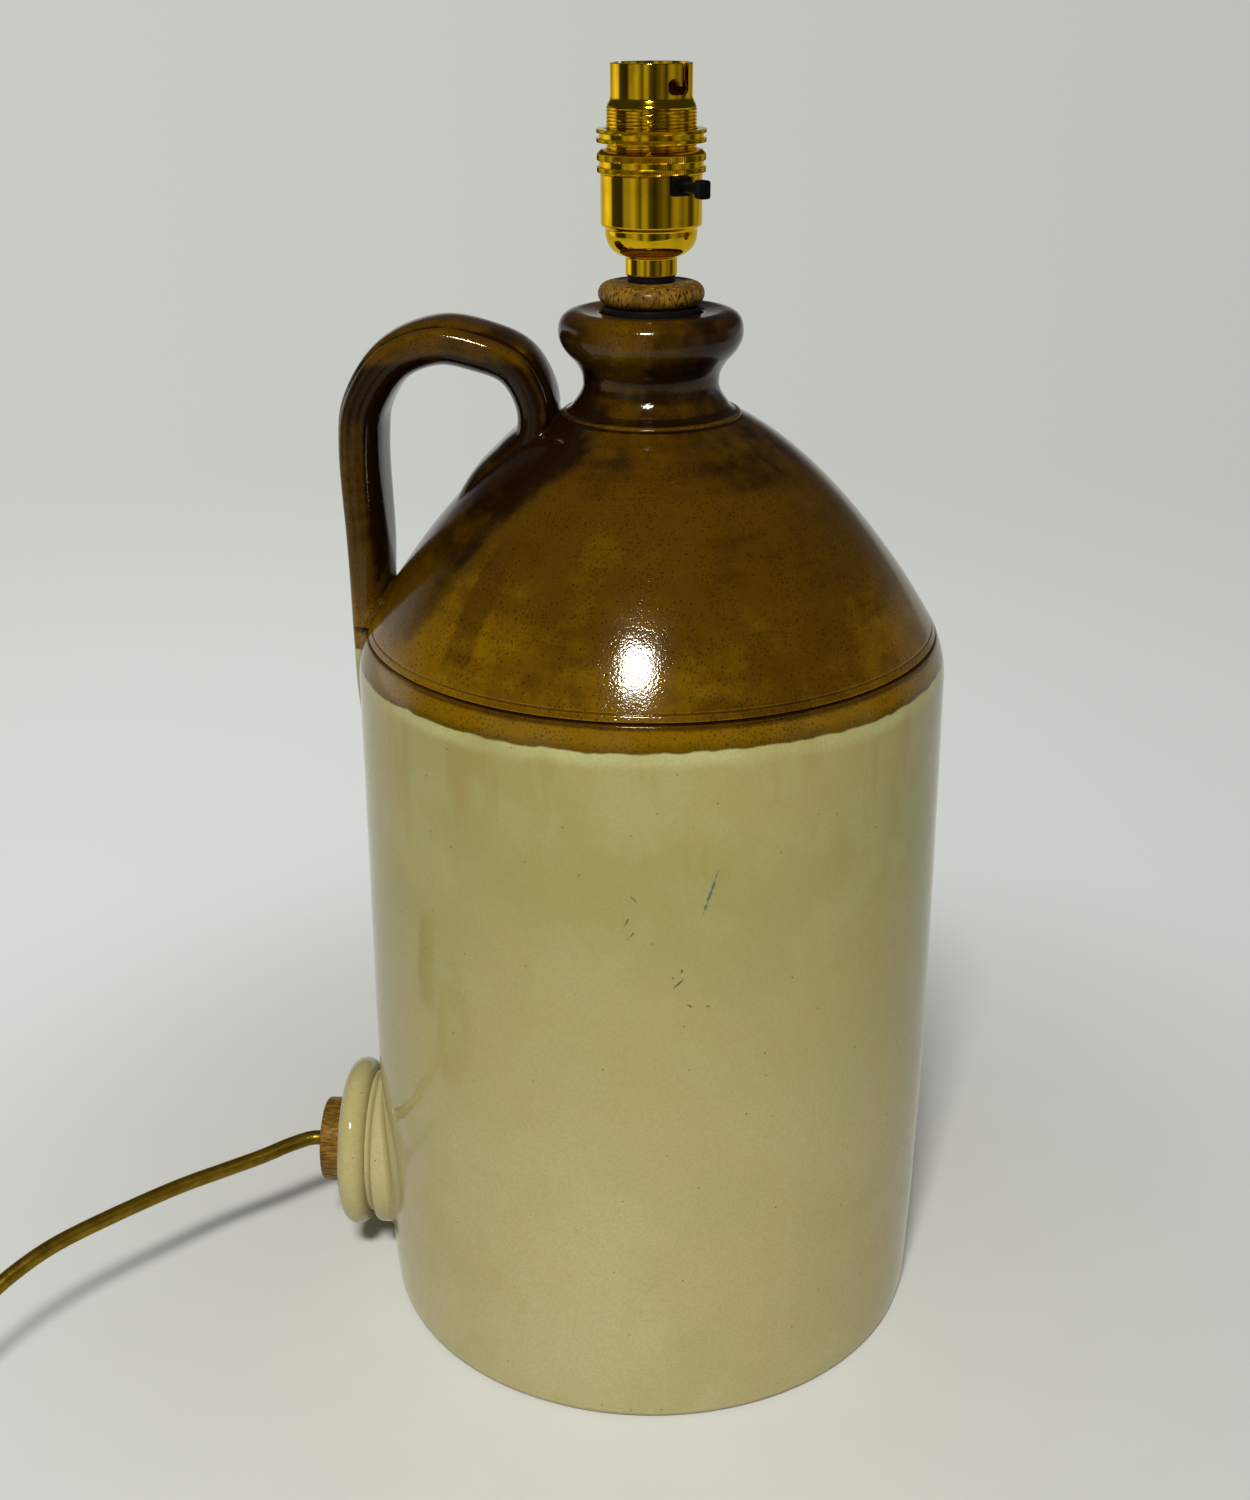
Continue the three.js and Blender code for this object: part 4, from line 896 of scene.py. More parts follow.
joined_smoothly(flagon, strap, 0.0035, 14)
joined_smoothly(flagon, boss, 0.004, 10)
combined(flagon, "DIFFERENCE", cavity, hole, sharp_degrees=48)

# %% [markdown]
# ### Where the glaze gathers
# Glaze runs off ridges and gathers in hollows while it melts. So each point keeps a number for how
# hollow the pot is there, and another for the strap, whose inner face is darker both from glaze that
# ran thick on it and from painted shade inside the loop.

# %% Mark the hollows
loop_middle = 0.07, 0.306
cone_heights, cone_radii = [0, 0.25, 0.29, 0.331, 0.345], [0.1, 0.103, 0.085, 0.034, 0.029]


def keep_number(mesh, name, values):
    layer = mesh.attributes.new(name, "FLOAT", "POINT")
    layer.data.foreach_set("value", values.astype(np.float32))


def mark_hollows(mesh, rounds):
    spots, normals = (read_vectors(mesh.vertices, key) for key in ("co", "normal"))
    edges = edges_of(mesh)
    step = spots[edges[:, 0]] - spots[edges[:, 1]]
    bend = ((normals[edges[:, 0]] - normals[edges[:, 1]]) * step).sum(1)
    bend = -bend / np.maximum(np.linalg.norm(step, axis=1), 2e-4) ** 2
    total = np.bincount(edges.ravel(), weights=np.repeat(bend, 2), minlength=len(spots))
    count = np.bincount(edges.ravel(), minlength=len(spots)).clip(1)
    hollow = np.clip(total / count, -400, 400)[:, None]
    hollow = evened(hollow, edges, np.full(len(spots), 0.6), rounds).ravel()
    keep_number(mesh, "hollow", hollow)
    return hollow


def mark_inside(mesh):
    """A third on the strap, and 1 where it faces the middle of the loop."""
    spots, normals = (read_vectors(mesh.vertices, key) for key in ("co", "normal"))
    out = np.array([math.cos(handle_azimuth), math.sin(handle_azimuth), 0])
    inwards = loop_middle[0] * out + np.array([0, 0, loop_middle[1]]) - spots
    inwards /= np.linalg.norm(inwards, axis=1)[:, None]
    facing = np.clip((normals * inwards).sum(1) * 3 + 0.2, 0, 1)
    radius, height = np.hypot(spots[:, 0], spots[:, 1]), spots[:, 2]
    off_body = radius > np.interp(height, cone_heights, cone_radii)
    strap_side = (spots @ out > 0.03) & (height > 0.2) & (np.abs(spots[:, 1]) < 0.04)
    keep_number(mesh, "inside", np.where(off_body & strap_side, 0.35 + 0.65 * facing, 0))


hollow = mark_hollows(flagon.data, 6)
mark_inside(flagon.data)
print("flagon:", len(flagon.data.vertices), "points")
print("bend per metre, from ridge to hollow:", hollow.min().round(), hollow.max().round())

# %% [markdown]
# ## Bungs, cap and washer
# A wooden bung with a hole down its middle closes the outlet, and the flex runs through it. A rubber
# bung grips the mouth, and the lampholder stands on a turned wooden cap and a washer above it. The
# wood was turned too, so its profile is all curves.

# %% Turned fittings, in millimetres
flex_bore, tube_bore = 3.2, 5.3
bung_flange, flange_out, bung_play = 16, 9.3, 0.3
cap_base, cap_height, cap_radius, cap_half = 2.2, 7.2, 17.2, 3.6
mouth_frame = moved(0, 0, mouth_height)


def outlet_bung_outline():
    flange, front, seat = bung_flange, rim_face + flange_out, rim_face + bung_play
    return np.vstack([
        [(flex_bore, bung_depth), (hole_radius - hole_taper - bung_play, bung_depth)],
        [(hole_radius - bung_play, rim_face - 0.7), (hole_radius - bung_play, seat)],
        bend2((hole_radius, seat), (flange, seat), (flange, rim_face + 0.9), 4),
        bend2((flange, front - 1.4), (flange, front), (flange - 1.4, front), 8),
        [(13.2, front - 0.12), (9, front), (5, front)],
        bend2((4.4, front), (flex_bore, front), (flex_bore, front - 1.2), 5),
        [(flex_bore, bung_depth)],
    ])


def mouth_bung_outline():
    return softened([
        (tube_bore, -25.5), (tube_bore, -26), (14.2, -26), (15.9, 0), (15.9, 2.1), (tube_bore, 2.1),
        (tube_bore, 1.6), (tube_bore, -25.5),
    ], 0.5)


def cap_outline():
    base, half, top = cap_base, cap_half, cap_base + cap_height
    edge = half_round((cap_radius - half, base + half), half, 30)
    seat_groove = [(11.4, top), (11.0, base + 7.0), (10.6, top)]
    return np.vstack([[(tube_bore, base)], edge, seat_groove, [(tube_bore, top), (tube_bore, base)]])


def washer_outline():
    return softened([
        (5.15, 10), (5.15, 9.5), (7.7, 9.5), (7.7, 11.5), (5.15, 11.5), (5.15, 11), (5.15, 10),
    ], 0.35, 4)


outlet_bung = add_piece("outlet_bung_turned", spun(outlet_bung_outline(), 112), outlet_frame)
rubber_bung = add_piece("mouth_bung_moulded", spun(mouth_bung_outline(), 96), mouth_frame)
wood_cap = add_piece("wooden_cap_turned", spun(cap_outline(), 128), mouth_frame)
washer = add_piece("seat_washer_moulded", spun(washer_outline(), 96), mouth_frame)
print("wooden cap, mm:", 2 * cap_radius, "across and", cap_height, "high")

# %% [markdown]
# ## The lampholder
# Every part of it is turned brass. The housing is a cup on a short neck, and the barrel screws in
# above it under a union ring. A loose ring on the barrel's thread holds a shade. Three things make
# it look like brass and not like yellow paint: the knurling, the thread, and edges broken by a hair.

# %% Housing
holder_base, holder_bore = 375.4, 5.15
holder_frame = moved(0, 0, holder_base)
cup_neck, dome, cup, spigot, cup_inside, cup_top = 8.3, 14.7, 16.15, 15.2, 14.65, 36


def housing_outline():
    outside = np.vstack([
        [(holder_bore, 0), (7.8, 0)],
        bend2((7.8, 0), (cup_neck, 0), (cup_neck, 0.5), 4)[1:],
        [(cup_neck, 5.3)],
        bend2((cup_neck, 5.3), (cup_neck, 5.9), (8.9, 6.0), 5)[1:],
        bend3((8.9, 6.0), (12.4, 6.6), (dome, 9.6), (dome, 13.7), 28)[1:],
        bend2((dome, 14.1), (dome, 14.9), (15.4, 15.2), 6),
        bend2((15.8, 15.4), (cup, 15.6), (cup, 16.2), 5),
        [(cup, 31.0), (15.95, 31.2), (spigot, 31.2), (spigot, 35.8), (15.0, cup_top)],
    ])
    inside = [
        (cup_inside, cup_top), (cup_inside, 16.1), (13.1, 16.1), (12.6, 12), (11, 9.6), (cup_neck, 9),
        (holder_bore, 7.4), (holder_bore, 0),
    ]
    return np.vstack([outside, inside])


housing = add_piece("holder_cup", spun(spaced(housing_outline(), 0.5), 144), holder_frame)
print("housing, mm:", 2 * cup, "across and", cup_top, "high")


# %% Blocks with rounded corners, for the openings, the knobs and the bushes
def rounded_block(width, height, corner, steps=5):
    """Slices of a block whose four upright corners are rounded, each drawn in by an inset."""
    def level(inset, z):
        spots = []
        for quarter, (sx, sy) in enumerate(((1, 1), (-1, 1), (-1, -1), (1, -1))):
            turn = math.pi / 2 * (quarter + np.linspace(0, 1, steps + 1))
            centre = np.array([sx * (width / 2 - corner), sy * (height / 2 - corner)])
            reach = max(corner - inset, 0.02)
            if inset > corner:
                centre = centre - np.array([sx, sy]) * (inset - corner)
            spots.append(centre + reach * np.stack([np.cos(turn), np.sin(turn)], 1))
        flat = np.vstack(spots)
        return np.column_stack([flat, np.full(len(flat), z)])
    return level


def slab(width, height, low_z, high_z, corner, edge=0.0):
    """A rounded block with its far edges broken."""
    level = rounded_block(width, height, corner)
    rises = [(0, low_z), (0, high_z - edge)]
    if edge:
        rises += [(0.3 * edge, high_z - 0.3 * edge), (edge, high_z)]
    return swept([level(inset, z) for inset, z in rises])


print("points of one slab:", len(slab(5, 5, 0, 1, 0.8)[0]))

# %% [markdown]
# The bar of the switch runs right through the housing, so both openings are cut by one block. A grub
# screw locks the flex inside the dome, in a small round hole.

# %% Openings and grub screw
bar_azimuth, bar_height = math.radians(-56.5), 28.4
bar_frame = facing_out(bar_azimuth, holder_base + bar_height)
combined(housing, "DIFFERENCE", add_piece("openings", slab(5.1, 5.3, -19, 19, 0.8), bar_frame))

screw_azimuth, screw_height = math.radians(-41), 13.0
screw_frame = facing_out(screw_azimuth, holder_base + screw_height)
hole_profile = [(0, 12), (0.95, 12), (0.95, 14.2), (1.15, 14.6), (1.35, 16), (0, 16)]
combined(housing, "DIFFERENCE", add_piece("hole", spun(hole_profile, 32), screw_frame))
screw_profile = [
    (0, 12.6), (0.85, 12.6), (0.85, 13.9), (0.7, 14.05), (0.35, 14.05), (0.35, 13.5), (0, 13.5),
]
grub_screw = add_piece("grub_screw", spun(screw_profile, 32), screw_frame)
print("housing with its openings:", len(housing.data.vertices), "points")

# %% [markdown]
# ### Barrel, thread and slots
# A bayonet bulb has two pegs. Each goes down an entry leg, along a short run and up into a seat, so
# each slot is cut as one J. The thread is a real helix: the radius at any spot depends on how far the
# height has run past the turn.

# %% Barrel
thread_pitch, thread_depth, thread_low, thread_high = 1.058, 0.27, 37.8, 51.4
tube_radius, thread_radius, tube_top = 12.9, 14.2, 64
slot_azimuth = math.radians(-35.5)
slot_turn = math.radians(22)
slot_half, slot_floor, slot_corner = 1.55, 54.8, 1.2


def barrel_outline():
    tube, top, thread = tube_radius, tube_top, thread_radius
    return np.vstack([
        [(12.5, 36.1), (14.8, 36.1), (15, 36.3), (15, 37.1), (14.8, 37.3), (13.7, 37.3)],
        spaced([(13.9, 37.6), (thread, 38), (thread, 50.4)], 0.13),
        bend2((thread, 50.4), (thread, 51.2), (13.7, 52.0), 8)[1:],
        bend2((13.2, 53.0), (tube, 53.6), (tube, 54.4), 8),
        [(tube, 63.7)],
        bend2((tube, 63.7), (tube, top), (12.6, top), 4)[1:],
        bend2((11.9, top), (11.7, top), (11.7, 63.8), 3),
        [(11.7, 53.6), (12.5, 50.8), (12.5, 36.1)],
    ])


def threaded(angle, r, z):
    """The radius of the barrel's outside, with the thread cut into it."""
    turn_share = (z / thread_pitch - angle / (2 * math.pi)) % 1
    ridge_share = np.abs(turn_share - 0.5) * 2
    run = np.clip((z - thread_low) / 0.5, 0, 1) * np.clip((thread_high - z) / 0.5, 0, 1)
    return r - np.where(r > 13.85, thread_depth * run * np.clip((ridge_share - 0.5) * 2.6, 0, 1), 0)


def slot_outline():
    """One J, laid flat: how far round the barrel, and how high."""
    half, floor_at, c = slot_half, slot_floor, slot_corner
    middle = -tube_radius * slot_turn
    near, far = middle + 2.1, middle - 2.1
    tongue, top = floor_at + 2.5, floor_at + 4.7
    run_of_corners = [
        (half, 66), (-half, 66), (-half, tongue), (near, tongue), (near, top - c), (near - c, top),
        (far + c, top), (far, top - c), (far, floor_at + c), (far + c, floor_at), (half - c, floor_at),
        (half, floor_at + c), (half, 66),
    ]
    return softened(run_of_corners, 0.28, 3)[:-1]


def slot_cutter(azimuth):
    """The flat outline wrapped about the barrel's axis, from inside the wall to outside it."""
    outline = slot_outline()
    turn = azimuth + outline[:, 0] / tube_radius
    return swept([
        np.column_stack([radius * np.cos(turn), radius * np.sin(turn), outline[:, 1]])
        for radius in (10, 15)
    ])


barrel = add_piece(
    "holder_barrel_cut", spun(barrel_outline(), 144, threaded), holder_frame, sharp_degrees=30)
cutters = [add_piece("slot cutter", slot_cutter(slot_azimuth + half_turn), holder_frame)
           for half_turn in (0, math.pi)]
combined(barrel, "DIFFERENCE", *cutters, sharp_degrees=30)
print("turns of the thread:", round((thread_high - thread_low) / thread_pitch, 1))

# %% [markdown]
# ### The two knurled rings
# Knurling is pressed into the brass by a toothed wheel, and it gives fingers something to turn. Here
# the teeth are real: the ring's radius falls and rises 150 times on its way round, only in the bands.

# %% Rings
teeth, tooth_depth, band_edge = 150, 0.32, 0.12
union_radius, shade_radius = 17.15, 17.25
union_bands = [(31.8, 33.35), (35.25, 37.3)]
shade_bands = [(40.68, 41.86), (43.46, 44.52)]


def knurled(bands, radius):
    def shape(angle, r, z):
        saw = np.abs((angle * teeth / (2 * math.pi)) % 1 - 0.5) * 2
        mask = sum(np.clip((z - low) / band_edge, 0, 1) * np.clip((high - z) / band_edge, 0, 1)
                   for low, high in bands)
        return r - np.where(r > radius - 0.3, tooth_depth * mask * np.clip(saw * 1.25 - 0.12, 0, 1), 0)
    return shape


def union_outline():
    r = union_radius
    return np.vstack([
        [(15.35, 31.3), (16.2, 31.3)],
        bend2((16.2, 31.3), (16.9, 31.35), (17.1, 31.75), 5),
        spaced([(r, 31.85), (r, 31.97), (r, 33.18), (r, 33.3)], 0.3),
        [(17.0, 33.4), (16.5, 33.4), (16.5, 35.2), (17.0, 35.2)],
        spaced([(r, 35.3), (r, 35.42), (r, 37.15), (r, 37.27)], 0.3),
        bend2((17.0, 37.4), (16.3, 38.2), (15.9, 38.45), 6),
        [(15.7, 38.55), (14.5, 38.55), (14.35, 38.4), (14.35, 37.5), (15.35, 37.5), (15.35, 31.3)],
    ])


def shade_outline():
    r = shade_radius
    return np.vstack([
        [(14.5, 40.8), (14.7, 40.6), (17.1, 40.6)],
        spaced([(r, 40.72), (r, 40.84), (r, 41.7), (r, 41.82)], 0.25),
        [(17.1, 41.92), (16.5, 41.92), (16.5, 43.4), (17.1, 43.4)],
        spaced([(r, 43.5), (r, 43.62), (r, 44.36), (r, 44.48)], 0.25),
        [(17.1, 44.6), (14.7, 44.6), (14.5, 44.4), (14.5, 40.8)],
    ])


def ring_piece(name, outline, bands, radius):
    skin = spun(outline, 6 * teeth, knurled(bands, radius))
    return add_piece(name, skin, holder_frame, sharp_degrees=28)


union_ring = ring_piece("union_ring_knurled", union_outline(), union_bands, union_radius)
shade_ring = ring_piece("shade_ring_knurled", shade_outline(), shade_bands, shade_radius)
print("one tooth is", round(2 * math.pi * union_radius / teeth, 2), "mm wide")

# %% [markdown]
# ### Contacts and the push bar
# Down inside the barrel two sprung brass plungers stand in a ceramic block. The bar of the switch
# runs right through the housing between two black bushes, and a knob on each end says which way it
# is pushed.

# %% Contacts
contact_azimuth = slot_azimuth - slot_turn + math.pi / 2
contact_spots = [(side * math.cos(contact_azimuth), side * math.sin(contact_azimuth)) for side in (-4, 4)]


def plunger_piece(name, spot):
    outline = np.vstack([
        [(0, 42), (2.3, 42), (2.4, 42.1), (2.4, 43.4), (2.3, 43.5), (1.75, 43.5), (1.75, 50.4)],
        bend3((1.75, 50.4), (1.75, 51.2), (1.1, 51.7), (0, 51.7), 10)[1:],
    ])
    return add_piece(name, spun(outline, 40), holder_frame @ moved(*spot, 0))


plungers = [plunger_piece(f"contact_{i + 1}", spot) for i, spot in enumerate(contact_spots)]
print("contacts at, mm:", np.round(contact_spots, 2).tolist())

# %% [markdown]
# A bulb presses the plungers down on their springs. Nobody sees the springs, though a stiff one would
# cut through its plunger as it goes down. Each is a wire wound by a formula.

# %% Springs under the contacts
well_floor, plunger_foot, plunger_travel = 33.7, 42, 4.5
spring_radius, spring_wire, spring_turns = 1.9, 0.28, 5


def spring_piece(name, spot, steps=24, sides=10):
    turn = np.linspace(0, 2 * math.pi * spring_turns, steps * spring_turns + 1)
    end = spring_wire + 0.1
    height = np.linspace(well_floor + end, plunger_foot - end, len(turn))
    about = np.arange(sides) * 2 * math.pi / sides
    reach = spring_radius + spring_wire * np.cos(about)
    rings = [np.stack([reach * math.cos(t), reach * math.sin(t), z + spring_wire * np.sin(about)], -1)
             for t, z in zip(turn, height)]
    return add_piece(name, swept(rings), holder_frame @ moved(*spot, 0))


springs = [spring_piece(f"contact_spring_{i + 1}", spot) for i, spot in enumerate(contact_spots)]

# %% [markdown]
# The knobs of the bar are flat and stand upright across it. Each bush has a broad lip outside the
# housing and a shank in the opening, and both are bored for the bar.

# %% Push bar and bushes
bar_reach, bar_travel, bar_radius, knob_overlap = 17.95, 7.8, 1.75, 2
# How far each slice of a knob is drawn in, and how far out it stands
knob_levels = [
    (0.75, 0), (0.3, 0.12), (0.08, 0.4), (0, 0.8), (0, 3.8), (0.1, 4.2), (0.32, 4.45), (0.8, 4.6),
]


def half_turned(way):
    return Matrix.Rotation(0 if way > 0 else math.pi, 4, "X")


def bar_knob(start, way):
    level = rounded_block(5.6, 3.6, 0.9)
    skin = swept([level(inset, rise) for inset, rise in knob_levels])
    knob = add_piece("knob", skin, sharp_degrees=60)
    knob.data.transform(moved(0, 0, start) @ half_turned(way))
    return knob


def bush_piece(name, way):
    made = add_piece(name, slab(5.8, 6.8, 16.25, 17.6, 0.8, 0.35))
    combined(made, "UNION", add_piece("shank", slab(4.8, 5, 14.35, 16.6, 0.6)))
    bore = add_piece("bore", spun([(0, 12), (1.9, 12), (1.9, 20), (0, 20)], 48))
    combined(made, "DIFFERENCE", bore)
    made.data.transform(bar_frame @ half_turned(way))
    return made


back_end, front_end = -bar_reach - knob_overlap, bar_reach + bar_travel + knob_overlap
rod = [(0, back_end), (bar_radius, back_end), (bar_radius, front_end), (0, front_end)]
push_bar = add_piece("push_bar", spun(rod, 48))
combined(push_bar, "UNION", bar_knob(bar_reach + bar_travel, 1), bar_knob(-bar_reach, -1))
push_bar.data.transform(bar_frame)
bushes = [bush_piece("bush_front", 1), bush_piece("bush_back", -1)]
print("bar between its knobs, mm:", round(2 * bar_reach + bar_travel, 2), "travel, mm:", bar_travel)

# %% [markdown]
# ## Finishes
# ### The two glazes
# The pot was dipped twice: in a clear cream glaze all over, and head down in an iron brown one to a
# line just below the shoulder. The line wanders up and down by up to a millimetre, as the bath was
# never still.

# %% The line of the dip
dip_line = 250.0
g = Finish("brown and cream glaze")
rise = g.z
in_hollow = g.add("Attribute", attribute_name="hollow", out="Fac")
inside = g.add("Attribute", attribute_name="inside", out="Fac")
patch, mottle, fine = g.noise(19, 4.0, 0.6), g.noise(6, 3.0, 0.6), g.noise(1.6, 2.0)
wander = g.plus(g.sway(g.noise(46, 2.0), 0.6), g.sway(g.noise(9, 2.0), 0.35))
dipped = g.plus(rise, wander)
is_brown = g.ramp(dipped, dip_line - 0.45, dip_line + 0.35)
print("the brown ends", dip_line, "mm above the table")

# %% [markdown]
# The brown is thin and amber on edges, and thick and nearly black in hollows. It also lies uneven
# over the shoulder, as it ran while it was wet, with drips below the neck, and it is lighter towards
# both sides. The strap's shadow is painted in as darker brown beside the strap and in one broad band
# at the front left, and so is the shade on the neck under the collar and under the ledge. Each is a
# term of one sum.

# %% Thickness of the brown, and painted shade
# The strap's painted shadow on the shoulder: darker brown beside it, and in a broad band at the front left
strap_shadow_edge = g.ramp(g.sum("SUBTRACT", g.y, g.times(g.x, 0.25)), -36, -27)
painted_strap_shadow = g.times(strap_shadow_edge, g.times(g.ramp(g.x, -12, -26), g.ramp(rise, 259, 275)))
bearing = g.sum("ARCTAN2", g.x, g.times(g.y, -1))
off_shadow_band = g.sum("ABSOLUTE", g.plus(bearing, math.radians(41.5)))
strap_shadow_band = g.times(g.ramp(off_shadow_band, 0.085, 0.045), g.times(g.ramp(rise, 262, 268), g.ramp(rise, 306, 296)))
brushed = g.noise(1, 3.0, 0.6, g.stretched(0.02, 0.02, 0.15))
streaks = g.ramp(g.noise(1, 2.0, 0.5, g.stretched(0.07, 0.07, 0.02)), 0.42, 0.6)
thickness_and_shade = g.plus(
    # up the shoulder, and across it from left to right
    g.ramp(rise, 258, 300, 0.22, 0.46),
    g.ramp(rise, 300, 326, 0.0, 0.10),
    g.ramp(g.x, -30, -88, 0.0, -0.18),
    g.ramp(g.x, -4, 38, 0.0, 0.11),
    g.ramp(g.x, 55, 88, 0.0, -0.17),
    g.times(g.ramp(rise, 288, 264), g.ramp(g.x, 0, 34), g.ramp(g.x, 70, 45), 0.14),
    g.times(g.ramp(rise, 282, 296), g.ramp(rise, 331, 326, 0.0, 0.04)),
    # the lip, painted shadow of the strap beside it and in a broad band, fine lines, drips, and painted
    # shade on the neck
    g.times(g.ramp(rise, 345, 350), g.ramp(g.x, -16, 24, -0.28, 0.2)),
    # painted shadow of the strap, beside it
    g.times(painted_strap_shadow, g.ramp(inside, 0.05, 0.3, 0.42, 0.22)),
    # painted shadow of the strap, in a broad band at the front left
    g.times(strap_shadow_band, 0.2),
    g.sway(brushed, 0.07),
    g.times(streaks, g.ramp(rise, 312, 329), 0.16),
    # painted shade on the neck under the collar
    g.times(g.ramp(rise, 336, 343), g.ramp(rise, 353, 346), 0.15),
    # two sizes of cloud, hollows, ridges, the strap with painted shade inside its loop, and both sides of
    # the ledge with painted shade under it
    g.sway(patch, 0.09),
    g.sway(mottle, 0.05),
    g.ramp(in_hollow, 10, 90, 0.0, 0.3),
    g.ramp(in_hollow, -70, -230, 0.0, -0.3),
    # thick glaze on the strap, and painted shade on its inner face inside the loop
    g.times(inside, 0.52),
    # painted shade under the ledge, where the glaze also pools
    g.times(g.ramp(rise, 255.6, 258.2), g.ramp(rise, 258.9, 258.6), 0.62),
    g.ramp(rise, 258, 255.5, 0.0, -0.3),
)
print("nodes so far:", len(g.tree.nodes))

# %% [markdown]
# Iron gives the brown its specks: fine dark ones that crowd in patches, and a few larger ones. Right
# above the line of the dip the two glazes mixed, so the brown is greener there.

# %% Brown
amber, mid, deep = (0.165, 0.084, 0.001), (0.066, 0.030, 0.0006), (0.010, 0.0035, 0.0003)
mixed_tint, speck_tint = (0.052, 0.034, 0.0008), (0.010, 0.0035, 0.0004)
brown = g.blend(g.ramp(thickness_and_shade, 0.0, 0.5), amber, mid)
brown = g.blend(g.ramp(thickness_and_shade, 0.5, 1.0), brown, deep)
mixed_share = g.times(g.ramp(dipped, dip_line + 3.6, dip_line + 0.3), 0.6)
brown = g.blend(mixed_share, brown, mixed_tint)
crowd = g.ramp(g.noise(11, 2.0), 0.38, 0.62, 0.35, 1.0)
fine_specks = g.times(g.dots(0.95, 0.40), g.times(crowd, 0.7))
specks = g.sum("MAXIMUM", fine_specks, g.times(g.dots(2.3, 0.5), 0.8))
brown = g.blend(g.times(specks, 0.7), brown, speck_tint)
print("brown runs from", amber, "to", deep)

# %% [markdown]
# The cream is uneven too: greener and stained where the brown ran into it, and paler towards the
# foot. It is laid on here in layers, each with a share of the surface and a tint.

# %% Cream
low_cream, high_cream = (0.463, 0.408, 0.200), (0.308, 0.283, 0.092)
drawn_out = g.noise(1, 3.0, 0.55, g.stretched(0.075, 0.075, 0.012))
halo = g.ramp(g.noise(34, 2.0), 0.4, 0.6, 0.3, 0.75)
cream_layers = [
    # two sizes of cloud, stains below the line, a halo under it, a fine grain
    (g.ramp(g.noise(75, 3.0), 0.42, 0.62, 0.0, 0.45), (0.41, 0.325, 0.125)),
    (g.ramp(g.noise(28, 3.0), 0.48, 0.66, 0.0, 0.4), (0.36, 0.36, 0.15)),
    (g.times(g.ramp(drawn_out, 0.52, 0.68), g.ramp(rise, 175, 240, 0.0, 0.5)), (0.30, 0.215, 0.055)),
    (g.times(g.ramp(dipped, dip_line - 6, dip_line - 2), halo), (0.43, 0.43, 0.19)),
    (g.ramp(g.noise(0.9, 2.0), 0.4, 0.62, 0.0, 0.16), (0.23, 0.20, 0.055)),
    # pits, hollows, and the bare clay at the foot
    (g.sum("MAXIMUM", g.times(g.dots(7, 0.42), 0.75), g.times(g.dots(3.1, 0.2), 0.4)), (0.10, 0.065, 0.02)),
    (g.ramp(in_hollow, 30, 160, 0.0, 0.45), (0.22, 0.16, 0.05)),
    (g.ramp(rise, 2.4, 0.4, 0.0, 0.75), (0.23, 0.155, 0.07)),
]
cream = g.blend(g.ramp(rise, 40, 225), low_cream, high_cream)
for share, tint in cream_layers:
    cream = g.blend(share, cream, tint)
print("layers in the cream:", len(cream_layers))

# %% [markdown]
# Here and there something touched the wet glaze and left a small grey or brown mark. Each mark is a
# leaning ellipse with a ragged edge on the front of the pot.

# %% Marks in the cream
front_depth, mark_reach = -100.5, 30
# x, z, half width, half height, lean, tint
glaze_marks = [
    (18.4, 203.8, 0.55, 6.2, 0.32, (0.075, 0.095, 0.100)),
    (8.9, 173.0, 0.4, 1.9, 1.0, (0.060, 0.055, 0.020)),
    (9.7, 177.4, 0.5, 0.6, 0.0, (0.045, 0.055, 0.018)),
    (7.0, 175.0, 0.4, 0.5, 0.0, (0.075, 0.075, 0.025)),
    (-7.3, 194.5, 0.35, 1.3, 0.5, (0.090, 0.060, 0.015)),
    (-5.8, 190.0, 0.35, 1.6, 0.7, (0.120, 0.085, 0.020)),
    (-5.3, 202.3, 0.45, 1.2, -0.9, (0.140, 0.120, 0.040)),
    (12.0, 165.0, 0.6, 0.7, -1.0, (0.085, 0.070, 0.025)),
    (18.2, 164.2, 0.9, 0.5, 0.0, (0.085, 0.075, 0.030)),
]


def mark_share(across, height, wide, tall, lean):
    away = g.add("VectorMath", {0: g.place, 1: (across, front_depth, height)}, operation="SUBTRACT")
    dx, dy, dz = (g.add("SeparateXYZ", {0: away}, out=i) for i in range(3))
    beside = g.sum("SUBTRACT", dx, g.times(dz, lean))
    spans = (beside, wide), (dy, mark_reach), (dz, tall)
    shares = [g.sum("DIVIDE", value, span) for value, span in spans]
    scaled = g.add("CombineXYZ", dict(enumerate(shares)))
    reach = g.add("VectorMath", {0: scaled}, out="Value", operation="LENGTH")
    ragged = g.plus(reach, g.sway(g.noise(1.6, 3.0), 0.4))
    return g.ramp(ragged, 1.2, 0.5, 0.0, 0.85)


for *place, tint in glaze_marks:
    cream = g.blend(mark_share(*place), cream, tint)
print("marks:", len(glaze_marks))

# %% [markdown]
# Fired glaze is glass, so it is smooth, but never flat: it has a faint orange peel, stronger in the
# brown, a dimple at each speck, and a step up where the second glaze lies on the first.

# %% The skin of the glaze
g.set(Base_Color=g.blend(is_brown, cream, brown), IOR=1.4)
g.set(Specular_IOR_Level=0.36, Specular_Tint=(1.0, 0.95, 0.8, 1))
g.set(Roughness=g.ramp(mottle, 0.3, 0.7, 0.07, 0.11))
peel = g.times(g.noise(0.8, 1.0), g.ramp(is_brown, 0, 1, 0.14, 1.0))
skin = g.plus(g.times(g.noise(3.2, 1.0), 0.7), peel, g.times(fine, 0.15))
skin = g.sum("SUBTRACT", skin, g.times(specks, g.times(is_brown, 0.4)))
g.bump(g.plus(skin, g.times(is_brown, 0.8)), 0.03)
place_piece(flagon, "lamp", "cream_glaze", g, "flagon_body", "flagon_handle", "outlet_boss")
print("nodes in the glaze:", len(g.tree.nodes))
